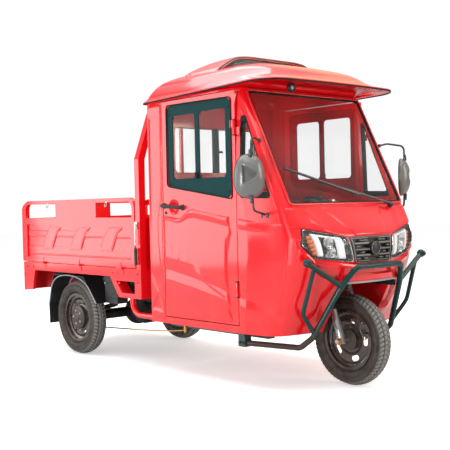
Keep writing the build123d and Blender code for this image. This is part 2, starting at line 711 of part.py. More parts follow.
# Lamps and grille are set into the nose: outlines seen from the front
lamp_outline = [(452, 884), (182, 832), (150, 696), (392, 728), (468, 800)]
grille_outline = [(172, 834), (-172, 834), (-144, 692), (144, 692)]
fascia_gap = 1.0
forward_skin = Pos(3, 0, 0) * skin
lamp_bed = Pos(-34, 0, 0) * skin
headlamps = []
for side, s in sides:
    outline = [(s * y, z) for y, z in lamp_outline]
    nose = nose - front_prism(outline, at(1990), at(2400), 14)
    lamp = front_prism(outline, at(1990), at(2400), 14) & (forward_skin - lamp_bed)
    headlamps.append(lamp)
nose = nose - front_prism(grille_outline, at(2150), at(2400))
grille = front_prism([(y * 0.985, z) for y, z in grille_outline], at(2150), at(2400)) & (forward_skin - lamp_bed)
for z in (716, 748, 780, 812):
    grille = grille - (block(at(2190), at(2400), -134, 134, z - 8, z + 8) & (Pos(10, 0, 0) * skin) - (Pos(-14, 0, 0) * skin))
badge = rod((at(2205), 0, 768), (at(2262), 0, 768), 32)
save("grille", grille + badge)
save("headlamps", Compound(children=[x for k in headlamps for x in k.solids()]))
save("nose_panel", nose)
save("cab_rear_panel", shell & rear_cutter)
middle_shell = shell - nose_cutter - rear_cutter
for side, s in sides:
    half = block(at(900), at(2300), s * 700, 0, 300, 1700)
    save("cab_side_" + side, middle_shell & half)

floor = inside & block(at(900), at(2200), -600, 600, cab_floor_z, cab_floor_z + cab_floor_thickness)
slot_outer = block(at(slot_back - slot_wall), at(2400), -slot_half_width - slot_wall, slot_half_width + slot_wall, 200, slot_top_z + slot_wall)
slot_inner = block(at(slot_back), at(2400), -slot_half_width, slot_half_width, 200, slot_top_z)
housing_box = (slot_outer - slot_inner) & inside
stem_slot = rod((on_axis(540), 0, 540), (on_axis(700), 0, 700), stem_radius + 12)
save("cab_floor", (floor - slot_outer) + (housing_box - stem_slot))

cab_panes = []
for side, s in sides:
    seal = quarter_sheet(s, 0, cab_half_width + 10, cab_half_width - 60, 16) & (skin - inside)
    window_seals.append(seal - quarter_sheet(s, 16, 400, 600, 10))
    cab_panes.append(quarter_sheet(s, 16, 500, 505, 10))
save("window_seals", Compound(children=[x for k in window_seals for x in k.solids()]))
rear_pane = front_prism(rear_window_outline, at(cab_back + 12), at(cab_back + 17), 30)
cab_panes.append(rear_pane)

# Roof cap, with the visor that reaches over the windscreen

# Each row is one level of the roof in plan: its height at the back and at the front, where it ends
# at the back and, on the middle line, at the front, its half width and its corner radii.
roof_levels = (
    # z_back, z_front, back, front, half_width, back_corner, front_corner
    (1643, 1674, 930, 2045, 560, 30, 150),
    (1651, 1682, 930, 2049, 562, 30, 150),
    (1664, 1688, 944, 2010, 551, 40, 150),
    (1700, 1704, 950, 1945, 533, 55, 150),
    (1734, 1734, 962, 1895, 508, 65, 150),
    (1760, 1760, 988, 1860, 486, 85, 150),
    (1780, 1780, 1020, 1826, 452, 100, 150),
    (1800, 1800, 1075, 1772, 398, 110, 150),
    (1824, 1824, 1150, 1680, 320, 110, 130),
    (1840, 1840, 1260, 1590, 230, 90, 90),
)
hollow_levels = (
    (gutter_z, gutter_z, 990, 1735, 490, 50, 50),
    (1700, 1700, 990, 1735, 490, 50, 50),
    (1738, 1738, 1010, 1720, 455, 60, 60),
    (1776, 1776, 1120, 1610, 330, 90, 90),
    (1808, 1808, 1290, 1520, 190, 80, 80),
)
visor_bow = 30              # how far the visor's edge is bowed forward between its corners


def roof_section(z_back, z_front, back, front, half_width, back_corner, front_corner, bow=visor_bow):
    """One level of the roof: a rectangle with a bowed front and rounded corners, level or tilted."""
    side_end = front - bow
    rise = lambda x: z_back + (z_front - z_back) * (x - back) / (front - back)
    rear_right, rear_left = ((at(back), y, rise(back)) for y in (-half_width, half_width))
    front_right, front_left = ((at(side_end), y, rise(side_end)) for y in (-half_width, half_width))
    edges = [
        Line(rear_left, rear_right),
        Line(rear_right, front_right),
        ThreePointArc(front_right, (at(front), 0, rise(front)), front_left),
        Line(front_left, rear_left),
    ]
    plan = make_face(Wire(edges))
    plan = fillet([v for v in plan.vertices() if v.X < at((back + front) / 2)], back_corner)
    return fillet([v for v in plan.vertices() if v.X > at(side_end) - 1], front_corner)


gutter_clearance = 0.5      # between the roof's drip edge and the cab's sides
roof = loft([roof_section(*level) for level in roof_levels], ruled=True)
hollow = loft([roof_section(*level) for level in hollow_levels], ruled=True)
roof = roof + extrude(cab_section(*cab_levels[-1], 0), amount=40, dir=(0, 0, 1))
roof = roof - extrude(cab_section(*cab_levels[-1], -gutter_clearance), amount=60, dir=(0, 0, -1))
save("roof_cap", roof - hollow)

# Air scoop on the roof, open to the front behind a mesh
scoop_wall = 16
scoop_back, scoop_front = 1190, 1496
mesh_back, mesh_thickness = 1470, 6
scoop_side = [
    (at(scoop_back), 1780),
    (at(scoop_back + 20), 1836),
    (at(1350), 1886),
    (at(scoop_front - 12), 1893),
    (at(scoop_front), 1881),
    (at(scoop_front), 1780),
]
scoop_edge = ((430, 1796), (372, 1832), (322, 1860), (275, 1879), (200, 1893))


def scoop_prism(inset, x0, x1):
    """The scoop's outline seen from the front, drawn in by an inset, between two values of X."""
    left = [(y - 2 * inset, z - inset) for y, z in scoop_edge]
    right = [(-y, z) for y, z in left[::-1]]
    return front_prism([(left[0][0], 1770), *left, *right, (right[-1][0], 1770)], x0, x1)


scoop = side_prism(scoop_side, -700, 700) & scoop_prism(0, at(scoop_back - 10), at(scoop_front))
scoop = scoop - scoop_prism(scoop_wall, at(mesh_back - 40), at(scoop_front + 5))
mesh = scoop_prism(scoop_wall, at(mesh_back), at(mesh_back + mesh_thickness)) - roof
save("roof_scoop", scoop - roof)
cab_panes += mesh.solids()
save("cab_windows", Compound(children=[x for k in cab_panes for x in k.solids()]))

# Doors: a slab with its window cut, a dark window frame with two panes, and a pull handle

door_window = [(at(1136), 1130), (at(1706), 1052), (at(1706), 1604), (at(1136), 1610)]
panes = ((1186, 1392, 1176, 1548), (1428, 1656, 1172, 1552))
door_hinge_levels = ((1396, 1477), (514, 596))
hinge_axis_x = at(door_front + door_gap / 2)
hinge_axis_y = cab_half_width + 10
body_hinges = []
for side, s in sides:
    face, back = s * cab_half_width, s * (cab_half_width - door_thickness)
    slab = block(at(door_back), at(door_front), face, back, door_bottom_z, door_top_z)
    slab = slab - side_prism(door_window, s * 600, s * 450, 34)
    pocket = extrude(Plane(origin=(at(1190), face + s * 1, 1012), z_dir=(0, -s, 0)) * Circle(42), amount=16)
    slab = slab - pocket
    window_frame = side_prism(door_window, face - s * 3, face - s * 13, 34)
    glass = []
    for x0, x1, z0, z1 in panes:
        corners = [(at(x0), z0), (at(x1), z0), (at(x1), z1), (at(x0), z1)]
        window_frame = window_frame - side_prism(corners, s * 600, s * 450, 24)
        glass.append(side_prism(corners, face - s * 6, face - s * 10, 24))
    for low, high in door_hinge_levels:
        middle = (low + high) / 2
        axis = (hinge_axis_x, s * hinge_axis_y)
        knuckle = rod((*axis, middle + 1), (*axis, high), hinge_radius)
        strap = block(at(door_front) - 36, hinge_axis_x, face, face + s * 4, middle + 1, high)
        slab = slab + strap + knuckle
        slab = slab - rod((*axis, middle - 5), (*axis, high - 8), pin_radius + axle_clearance)
        fixed = rod((*axis, low), (*axis, middle), hinge_radius)
        pin = rod((*axis, low + 5), (*axis, high - 12), pin_radius)
        strap = block(hinge_axis_x, hinge_axis_x + 38, face, face + s * 4, low, middle)
        body_hinges.append(fused([fixed, pin, strap]))
    save("door_" + side, slab)
    save("door_glass_" + side, Compound(children=glass))
    grip_points = [(x, face + out, z) for x, out, z in ((at(1098), 0, 1020), (at(1098), s * 30, 1020), (at(1272), s * 30, 1008), (at(1272), 0, 1008))]
    grip = tube(grip_points, 11, [16, 16])
    save("door_trim_" + side, Compound(children=[*window_frame.solids(), *grip.solids()]))
save("door_hinges", Compound(children=[x for k in body_hinges for x in k.solids()]))

# Cab fittings

save("dashboard", side_prism([(at(1935), 800), (at(1935), 960), (at(2040), 985), (at(2060), 800)], -520, 520) & inside)
seat_back_x = at(1010)
seat_front_x = at(1470)
seat_top_z = 640
seat_wall = 20
seat_side_gap = 75          # between the bench and the cab's inner wall
seat_half = cab_half_width - cab_wall - seat_side_gap
base = block(seat_back_x, seat_front_x - 30, -seat_half, seat_half, cab_floor_z + cab_floor_thickness, seat_top_z)
base_inside = block(
    seat_back_x + seat_wall,
    seat_front_x - 30 - seat_wall,
    -seat_half + seat_wall,
    seat_half - seat_wall,
    cab_floor_z,
    seat_top_z - seat_wall,
)
save("seat_base", base - base_inside)
cushion = fillet(block(seat_back_x + 66, seat_front_x, -seat_half, seat_half, seat_top_z, seat_top_z + 85).edges(), 22)
rest = Pos(seat_back_x + 36, 0, seat_top_z + 270) * (Rot(0, -6, 0) * Box(72, 2 * seat_half, 400))
rest = fillet(rest.edges(), 22)
save("seat_cushions", Compound(children=[*(cushion - rest).solids(), *rest.solids()]))

# Bull bar: a hoop over the front wheel with a guard loop on each side

hoop_points = [
    (at(1592), bracket_y, bar_rail_z),
    (at(1680), bracket_y, bar_rail_z),
    (at(2015), 345, bar_rail_z + 6),
    (at(2092), 332, 300),
    (at(2228), 250, 576),
    (at(2283), 186, 676),
]
hoop_path = [(x, -y, z) for x, y, z in hoop_points] + [(x, y, z) for x, y, z in hoop_points[::-1]]
bull_bar = tube(hoop_path, bar_tube_radius, [200, 60, 60, 400, 50, 50, 400, 60, 60, 200])
for side, s in sides:
    ball = (at(2206), s * 481, 711)
    joint = (at(2228), s * 250, 576)
    bull_bar = bull_bar + rod(ball, joint, 14)
    bull_bar = bull_bar + Pos(*ball) * Sphere(23)
    low = (at(2100), s * 322, 318)
    loop = tube([(at(2204), s * 430, 681), (at(2128), s * 442, 440), low], 12, [60])
    bull_bar = bull_bar + loop
save("bull_bar", bull_bar)

# Mirrors on their arms, and the wiper

mirror_depth = 60
mirror_x = at(1950)
mirror_y = 650
mirror_z = 1163
arm_radius = 6
mirrors, mirror_arms = [], []
for side, s in sides:
    face = Plane(origin=(mirror_x, s * mirror_y, mirror_z), x_dir=(0, 1, 0), z_dir=(1, 0, 0))
    head_shell = extrude(face * RectangleRounded(160, 226, 70), amount=mirror_depth)
    head_shell = fillet(head_shell.edges().group_by(Axis.X)[-1], 24)
    arm_x = mirror_x + 28
    upper = [(1895, 500, 1356), (1915, 560, 1368), (arm_x - at(0), 640, 1352), (arm_x - at(0), 648, mirror_z)]
    lower = [(arm_x - at(0), 648, mirror_z), (arm_x - at(0), 632, 985), (1935, 500, 958)]
    upper_arm = tube([(at(x), s * y, z) for x, y, z in upper], arm_radius, [30, 30])
    lower_arm = tube([(at(x), s * y, z) for x, y, z in lower], arm_radius, [24])
    mirrors.append(head_shell)
    for piece in (upper_arm, lower_arm):
        mirror_arms.append(piece - head_shell - skin)
save("mirrors", Compound(children=[x for k in mirrors for x in k.solids()]))
save("mirror_arms", Compound(children=[x for k in mirror_arms for x in k.solids()]))


wiper_lift = 26


def on_screen(y, up):
    """A point on the windscreen's face: Y across and a distance up from its foot."""
    along = up / screen_length
    x = screen_foot[0] + (screen_head[0] - screen_foot[0]) * along
    z = screen_foot[1] + (screen_head[1] - screen_foot[1]) * along
    lift = screen_plane.z_dir * wiper_lift
    return (x + lift.X, y, z + lift.Z)


wiper_tip = on_screen(-190, 130)
wiper_pivot = on_screen(340, -14)
blade = rod(on_screen(-440, 210), on_screen(80, 46), 7)
arm = rod(wiper_pivot, wiper_tip, 7)
boss_foot = (wiper_pivot[0] - 40 * screen_plane.z_dir.X, wiper_pivot[1], wiper_pivot[2] - 40 * screen_plane.z_dir.Z)
boss = rod(boss_foot, wiper_pivot, 14)
save("wiper", fused([blade, arm, boss]) - skin - screen_sheet(0, -4, 30, 38))
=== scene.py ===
"""Looks of an enclosed electric cargo tricycle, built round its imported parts."""

import math

import bmesh
import bpy
import numpy as np
from mathutils import Matrix, Vector


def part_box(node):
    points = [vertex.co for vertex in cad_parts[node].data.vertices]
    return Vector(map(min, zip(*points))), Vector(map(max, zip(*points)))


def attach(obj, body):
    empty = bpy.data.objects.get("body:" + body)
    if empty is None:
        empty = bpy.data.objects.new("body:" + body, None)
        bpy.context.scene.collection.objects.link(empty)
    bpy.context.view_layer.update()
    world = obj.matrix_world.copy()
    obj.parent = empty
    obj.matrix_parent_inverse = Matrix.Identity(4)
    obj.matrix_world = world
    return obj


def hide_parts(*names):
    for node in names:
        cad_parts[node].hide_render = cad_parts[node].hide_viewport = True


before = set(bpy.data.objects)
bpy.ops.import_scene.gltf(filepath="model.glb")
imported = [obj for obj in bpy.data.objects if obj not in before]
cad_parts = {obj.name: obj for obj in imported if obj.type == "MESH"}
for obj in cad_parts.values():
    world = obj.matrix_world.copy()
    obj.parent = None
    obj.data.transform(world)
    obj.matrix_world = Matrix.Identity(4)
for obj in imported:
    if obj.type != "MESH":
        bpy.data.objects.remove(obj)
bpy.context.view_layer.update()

# The studio: a white surround that lights the object from overhead more than from the horizon, a
# pale floor, soft lights above, behind and on both sides, a low strip that draws a bright line on
# the panels, and a camera at the photo's angle, which sees the surround and the floor brighter.
rear_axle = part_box("rear_rim_right")
rear_axle_x = (rear_axle[0][0] + rear_axle[1][0]) / 2
studio = bpy.data.worlds.new("studio")
studio.use_nodes = True
tree = studio.node_tree
surround, backdrop = tree.nodes["Background"], tree.nodes.new("ShaderNodeBackground")
surround.inputs["Color"].default_value = (1.0, 1.0, 1.0, 1.0)
backdrop.inputs["Color"].default_value = (1.0, 1.0, 1.0, 1.0)
backdrop.inputs["Strength"].default_value = 1.05
direction, height = tree.nodes.new("ShaderNodeTexCoord"), tree.nodes.new("ShaderNodeSeparateXYZ")
fade = tree.nodes.new("ShaderNodeMapRange")
for socket, value in ((1, 0.02), (2, 0.60), (3, 0.20), (4, 0.62)):
    fade.inputs[socket].default_value = value
ray, either = tree.nodes.new("ShaderNodeLightPath"), tree.nodes.new("ShaderNodeMixShader")
for start, end in (
    (direction.outputs["Generated"], height.inputs[0]),
    (height.outputs["Z"], fade.inputs[0]),
    (fade.outputs[0], surround.inputs["Strength"]),
    (ray.outputs["Is Camera Ray"], either.inputs[0]),
    (surround.outputs[0], either.inputs[1]),
    (backdrop.outputs[0], either.inputs[2]),
    (either.outputs[0], tree.nodes["World Output"].inputs[0]),
):
    tree.links.new(start, end)
bpy.context.scene.world = studio
bpy.context.scene.view_settings.view_transform = "Standard"

camera_data = bpy.data.cameras.new("camera")
camera_data.sensor_width = 36.0
camera_data.lens = 69.12
camera = bpy.data.objects.new("camera", camera_data)
bpy.context.scene.collection.objects.link(camera)
azimuth, elevation, roll = math.radians(48.575), math.radians(1.319), -0.0225
back = Vector(
    (math.sin(azimuth) * math.cos(elevation), -math.cos(azimuth) * math.cos(elevation), math.sin(elevation))
)
level_right = (-back).cross(Vector((0, 0, 1))).normalized()
level_up = level_right.cross(-back)
right = level_right * math.cos(roll) + level_up * math.sin(roll)
up = level_up * math.cos(roll) - level_right * math.sin(roll)
turn = Matrix((right, up, back)).transposed().to_4x4()
turn.translation = Vector((rear_axle_x + 5.2186, -3.6915, 1.0164))
camera.matrix_world = turn
bpy.context.scene.camera = camera

white, cream, orange = (1.0, 1.0, 1.0), (1.0, 0.80, 0.60), (1.0, 0.22, 0.03)
soft_lights = (
    # name, place, aimed at, width, height, watts, colour
    ("side_light", (-4.6, -4.9, 1.9), (0.1, -0.5, 0.9), 4.6, 3.4, 158.0, white),
    ("front_light", (5.2, 3.4, 2.6), (1.0, 0.0, 0.9), 2.2, 2.4, 130.0, cream),
    ("strip_light", (2.5, -5.6, 0.95), (0.9, -0.5, 0.8), 0.6, 1.8, 165.0, white),
    ("warm_light", (-2.2, 4.9, 4.6), (1.0, 0.0, 0.9), 2.4, 2.4, 30.0, orange),
    ("top_light", (0.3, -0.4, 5.2), (0.3, -0.2, 0.0), 8.0, 6.0, 430.0, white),
)
for name, place, aim, width, height, watts, colour in soft_lights:
    light = bpy.data.lights.new(name, "AREA")
    light.shape, light.color = "RECTANGLE", colour
    light.size, light.size_y, light.energy = width, height, watts
    lamp = bpy.data.objects.new(name, light)
    lamp.location = place
    lamp.rotation_euler = (Vector(aim) - Vector(place)).to_track_quat("-Z", "Y").to_euler()
    bpy.context.scene.collection.objects.link(lamp)


class Wire:
    """A shader socket: Python's operators on it add the Math nodes that work out the result."""

    def __init__(self, paint, socket):
        self.paint, self.socket = paint, socket

    def _math(self, operation, first, second=None):
        inputs = {0: first} if second is None else {0: first, 1: second}
        return self.paint.node("ShaderNodeMath", {"operation": operation}, inputs)

    def __add__(self, other):
        return self._math("ADD", self, other)

    __radd__ = __add__

    def __rsub__(self, other):
        return self._math("SUBTRACT", other, self)

    def __mul__(self, other):
        return self._math("MULTIPLY", self, other)

    __rmul__ = __mul__

    def __abs__(self):
        return self._math("ABSOLUTE", self)

    def wave(self):
        """The sine of the value in radians."""
        return self._math("SINE", self)

    def ramp(self, low, high):
        """0 below low, 1 above high and a smooth S between."""
        settings = {"interpolation_type": "SMOOTHSTEP"}
        return self.paint.node("ShaderNodeMapRange", settings, {0: self, 1: low, 2: high})


class Paint:
    """A material with one Principled shader, and short ways to feed its sockets. Its roughness is a
    number, or (cells to the metre, spread, least) of a noise."""

    def __init__(self, name, colour, roughness, metallic=0.0, coat=0.0, coat_roughness=0.05):
        self.material = bpy.data.materials.new(name)
        self.material.use_nodes = True
        self.tree = self.material.node_tree
        self.shader = self.tree.nodes["Principled BSDF"]
        if isinstance(roughness, tuple):
            scale, spread, least = roughness
            roughness = self.noise(scale) * spread + least
        self.set("Base Color", colour)
        self.set("Roughness", roughness)
        self.set("Metallic", metallic)
        self.set("Coat Weight", coat)
        self.set("Coat Roughness", coat_roughness)

    def node(self, kind, settings, inputs, output=0):
        """Adds one node: its settings first, then the values or links of its sockets."""
        node = self.tree.nodes.new(kind)
        for key, value in settings.items():
            setattr(node, key, value)
        for key, value in inputs.items():
            self.feed(node.inputs[key], value)
        return Wire(self, node.outputs[output])

    def feed(self, socket, value):
        """Links a wire to a socket, or sets the socket's own value."""
        if isinstance(value, Wire):
            self.tree.links.new(value.socket, socket)
        elif isinstance(value, tuple) and len(value) == 3 and socket.type == "RGBA":
            socket.default_value = (*value, 1.0)
        else:
            socket.default_value = value

    def place(self):
        """The point on the object, in metres."""
        return self.node("ShaderNodeTexCoord", {}, {}, "Object")

    def part(self, vector, axis):
        """One of the three numbers of a vector."""
        return self.node("ShaderNodeSeparateXYZ", {}, {0: vector}, axis)

    def noise(self, scale, detail=3.0, vector=None):
        """Cloudy noise, so many cells to the metre."""
        inputs = {"Vector": vector or self.place(), "Scale": scale, "Detail": detail}
        return self.node("ShaderNodeTexNoise", {}, inputs, "Fac")

    def mix(self, factor, first, second):
        """A blend of two colours."""
        settings = {"data_type": "RGBA"}
        return self.node("ShaderNodeMix", settings, {0: factor, 6: first, 7: second}, 2)

    def set(self, socket, value):
        """Feeds a socket of the Principled shader."""
        self.feed(self.shader.inputs[socket], value)

    def bump(self, height, strength, distance):
        """Feeds a height in the range 0 to 1 to the shader's normal."""
        normal = self.node(
            "ShaderNodeBump", {}, {"Strength": strength, "Distance": distance, "Height": height}
        )
        self.set("Normal", normal)


floor_side = 60.0
floor_mesh = bpy.data.meshes.new("floor")
floor_mesh.from_pydata(
    [(x * floor_side / 2, y * floor_side / 2, -0.0005) for x, y in ((-1, -1), (1, -1), (1, 1), (-1, 1))],
    [],
    [(0, 1, 2, 3)],
)
studio_floor = bpy.data.objects.new("studio_floor", floor_mesh)
bpy.context.scene.collection.objects.link(studio_floor)
floor_paint = Paint("pale_floor", (0.94, 0.94, 0.94), 0.8)
floor_paint.set("Emission Color", (1.0, 1.0, 1.0))
floor_paint.set("Emission Strength", 0.46)
bright_floor = Wire(floor_paint, floor_paint.shader.outputs[0])
dim_floor = floor_paint.node("ShaderNodeBsdfDiffuse", {}, {"Color": (0.62, 0.62, 0.62)})
seen = floor_paint.node("ShaderNodeLightPath", {}, {}, "Is Camera Ray")
floor_mix = floor_paint.node("ShaderNodeMixShader", {}, {0: seen, 1: dim_floor, 2: bright_floor})
floor_paint.feed(floor_paint.tree.nodes["Material Output"].inputs[0], floor_mix)
floor_mesh.materials.append(floor_paint.material)


# Chassis: a welded ladder of box section, its neck and the bed's cross bearers, brushed with dark
# blue-green enamel, which is dull and dusty low down.
def at(ahead):
    """The X in metres of a station so many millimetres ahead of the rear axle."""
    return rear_axle_x + np.asarray(ahead) / 1000


def spots(ahead, y, z):
    """Points in metres from stations, Y and Z in millimetres, which may be arrays."""
    return np.stack(np.broadcast_arrays(at(ahead), np.asarray(y) / 1000, np.asarray(z) / 1000), -1)


def dress(paint, *nodes):
    """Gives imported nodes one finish."""
    for node in nodes:
        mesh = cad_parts[node].data
        mesh.materials.clear()
        mesh.materials.append(paint.material)


def grid_faces(rows, columns, rows_close=False, columns_close=False):
    """Quads of a grid: each joins a point with the next across, and both with the next along."""
    row = np.arange(rows if rows_close else rows - 1)[:, None]
    column = np.arange(columns if columns_close else columns - 1)[None, :]
    row_on, column_on = (row + 1) % rows, (column + 1) % columns
    pairs = ((row, column), (row, column_on), (row_on, column_on), (row_on, column))
    return np.stack(np.broadcast_arrays(*(r * columns + c for r, c in pairs)), -1).reshape(-1, 4)


def solid(name, points, faces):
    """An object from points and faces, merged where points meet and turned outwards."""
    mesh = bpy.data.meshes.new(name)
    mesh.from_pydata(points.tolist(), [], faces)
    shape = bmesh.new()
    shape.from_mesh(mesh)
    bmesh.ops.remove_doubles(shape, verts=shape.verts, dist=1e-6)
    bmesh.ops.recalc_face_normals(shape, faces=shape.faces)
    shape.to_mesh(mesh)
    shape.free()
    item = bpy.data.objects.new(name, mesh)
    bpy.context.scene.collection.objects.link(item)
    return item


def make(name, surfaces, paint, body, crease=40, replaces=(), bevel=0.0):
    """One object from (points, faces) surfaces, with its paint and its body."""
    points, faces, start = [], [], 0
    for grid, polygons in surfaces:
        grid = np.asarray(grid, float).reshape(-1, 3)
        points.append(grid)
        polygons = np.asarray(polygons, object).tolist()
        faces += [[start + corner for corner in polygon] for polygon in polygons]
        start += len(grid)
    item = solid(name, np.concatenate(points), faces)
    item.data.shade_smooth()
    item.data.set_sharp_from_angle(angle=math.radians(crease))
    item.data.materials.append(paint.material)
    if bevel:
        edge = item.modifiers.new("rounded_edges", "BEVEL")
        edge.width, edge.segments, edge.limit_method = bevel, 2, "ANGLE"
        edge.harden_normals = False
    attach(item, body)
    if replaces:
        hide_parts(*replaces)
    return item


def rounded(points, rounds=3, closed=False):
    """A line with its corners cut round: each round puts points a quarter in from both ends of
    every run, in place of the corners."""
    line = np.asarray(points, float)
    for _ in range(rounds):
        start, end = (line, np.roll(line, -1, 0)) if closed else (line[:-1], line[1:])
        cut = np.stack([0.75 * start + 0.25 * end, 0.25 * start + 0.75 * end], 1).reshape(-1, line.shape[1])
        line = cut if closed else np.concatenate([line[:1], cut, line[-1:]])
    return line


def capped(rings, first, last):
    """Rings with two more at their ends, each drawn in to one point."""
    ends = [np.broadcast_to(point, (1, *rings.shape[1:])) for point in (first, last)]
    return np.concatenate([ends[0], rings, ends[1]])


def piped(line, radius, sides=12, closed=False):
    """A round bar along a line: a circle across its direction at each point, with the ends drawn
    in to the middle. The circle's arms are the direction crossed with the line's flattest side."""
    line = np.asarray(line, float)
    if closed:
        along = np.roll(line, -1, 0) - np.roll(line, 1, 0)
    else:
        along = np.gradient(line, axis=0)
    along /= np.linalg.norm(along, axis=1, keepdims=True)
    aside = np.linalg.eigh(np.cov(line.T) + 1e-9 * np.diag((1.0, 2.0, 3.0)))[1][:, 0]
    first = np.cross(along, aside)
    first /= np.linalg.norm(first, axis=1, keepdims=True)
    second = np.cross(along, first)
    turn = np.linspace(0, 2 * np.pi, sides, endpoint=False)
    size = np.broadcast_to(np.asarray(radius, float), len(line))[:, None, None]
    ring = line[:, None] + size * (
        np.cos(turn)[None, :, None] * first[:, None] + np.sin(turn)[None, :, None] * second[:, None]
    )
    if closed:
        return ring, grid_faces(len(line), sides, True, True)
    ring = capped(ring, line[0], line[-1])
    return ring, grid_faces(len(ring), sides, False, True)


def turned(profile, centre, axis, sides=64, closed=False):
    """A turned shape: each (radius, along) of the profile swept round the axis through a centre.
    Axis is 0, 1 or 2, and sizes are in metres."""
    profile = np.asarray(profile, float)
    turn = np.linspace(0, 2 * np.pi, sides, endpoint=False)
    shape = np.zeros((len(profile), sides, 3))
    shape[..., axis] = profile[:, 1:2]
    shape[..., (axis + 1) % 3] = profile[:, :1] * np.cos(turn)
    shape[..., (axis + 2) % 3] = profile[:, :1] * np.sin(turn)
    return shape + np.asarray(centre), grid_faces(len(profile), sides, closed, True)


def knob(profile, ahead, y, z, axis, sides, over=1, closed=False):
    """A turned shape in millimetres about the line along an axis through a station, Y and Z. Its
    profile is turned over along that line where over is -1."""
    profile = np.asarray(profile, float) * (0.001, over * 0.001)
    return turned(profile, spots(ahead, y, z), axis, sides, closed)


def round_section(radius, along, size):
    """The profile of a round bead: eight points on a circle, about a point of a larger profile."""
    turn = np.linspace(0, 2 * np.pi, 8, endpoint=False)
    return np.stack([radius + size * np.cos(turn), along + size * np.sin(turn)], 1)


def placed(rows, side=1):
    """Points in metres from rows of station, Y and Z in millimetres, with Y on one side or other."""
    ahead, y, z = np.asarray(rows, float).T
    return spots(ahead, side * y, z)


def plate(outline, low, high, axis):
    """A flat plate in millimetres: an outline of stations, with heights where it is carried along
    Y, axis 1, or with Ys where it is carried along Z, axis 2."""
    ahead, other = np.asarray(outline, float).T
    ends = [spots(ahead, end, other) if axis == 1 else spots(ahead, other, end) for end in (low, high)]
    count = len(outline)
    wall = grid_faces(2, count, False, True).tolist()
    return np.array(ends), [list(range(count)), list(range(2 * count - 1, count - 1, -1)), *wall]


def pillow(centre, half, power=0.3, rows=14, sides=28):
    """A block with well rounded edges: a sphere whose sines and cosines are raised to a power under
    one, which flattens its six sides."""
    bend = lambda value: np.sign(value) * np.abs(value) ** power
    rise = np.linspace(-np.pi / 2, np.pi / 2, rows)[:, None]
    turn = np.linspace(0, 2 * np.pi, sides, endpoint=False)[None, :]
    x, y = bend(np.cos(rise)) * bend(np.cos(turn)), bend(np.cos(rise)) * bend(np.sin(turn))
    z = bend(np.sin(rise)) + 0 * turn
    points = np.stack([x, y, z], -1) * np.asarray(half) + np.asarray(centre)
    return points, grid_faces(rows, sides, False, True)


def skin(front, back):
    """A closed sheet from two grids: the front, the back turned over, and a rim between them."""
    rows, columns = front.shape[:2]
    face, index = grid_faces(rows, columns), np.arange(rows * columns).reshape(rows, columns)
    edge = np.concatenate([index[0, :-1], index[:-1, -1], index[-1, :0:-1], index[:0:-1, 0]])
    on, count = np.roll(edge, -1), rows * columns
    rim = np.stack([on, edge, edge + count, on + count], -1)
    points = np.concatenate([front.reshape(-1, 3), back.reshape(-1, 3)])
    return points, np.concatenate([face, face[:, ::-1] + count, rim])


green_paint = Paint("green_frame_enamel", (0.012, 0.075, 0.072), 0.34, coat=0.3)
low_down = 1 - green_paint.part(green_paint.place(), "Z").ramp(0.15, 0.6)
grime = low_down * green_paint.noise(14.0, 5.0).ramp(0.35, 0.75)
green_paint.set("Base Color", green_paint.mix(grime * 0.5, (0.006, 0.060, 0.056), (0.08, 0.055, 0.038)))
green_paint.set("Roughness", green_paint.noise(30.0) * 0.15 + 0.27 + grime * 0.2)
green_paint.bump(green_paint.noise(180.0, 2.0), 0.06, 0.001)
dress(green_paint, "main_frame", "steering_head", "bed_bearers")

# Wheels: pressed and welded black steel rims, with tubed tyres of black rubber moulded round them.
# The tread is rows of blocks between slanted grooves, and the sidewall has low rings.
rubber = Paint("tyre_rubber", (0.022, 0.020, 0.019), (60.0, 0.2, 0.6))
road_dust = rubber.noise(22.0, 5.0).ramp(0.3, 0.75)
rubber.set("Base Color", rubber.mix(road_dust * 0.5, (0.015, 0.014, 0.013), (0.060, 0.050, 0.041)))
rubber.bump(rubber.noise(420.0, 2.0), 0.15, 0.0008)
tread_rubber = Paint("tread_rubber", (0.022, 0.020, 0.019), (60.0, 0.2, 0.5))
tread_dust = tread_rubber.noise(26.0, 5.0).ramp(0.3, 0.75)
block_top = tread_rubber.node("ShaderNodeAttribute", {"attribute_name": "tread_top"}, {}, "Fac")
side_wall = tread_rubber.mix(tread_dust * 0.6, (0.016, 0.012, 0.010), (0.085, 0.060, 0.042))
tread_rubber.set("Base Color", tread_rubber.mix(block_top, side_wall, (0.215, 0.21, 0.20)))
tread_rubber.bump(tread_rubber.noise(420.0, 2.0), 0.12, 0.0008)
wheel_radius, wheelbase, tyre_steps = 255, 2080, 420


def smooth(value):
    """0 below 0, 1 above 1 and an S-shaped curve between."""
    value = np.clip(value, 0, 1)
    return value**2 * (3 - 2 * value)


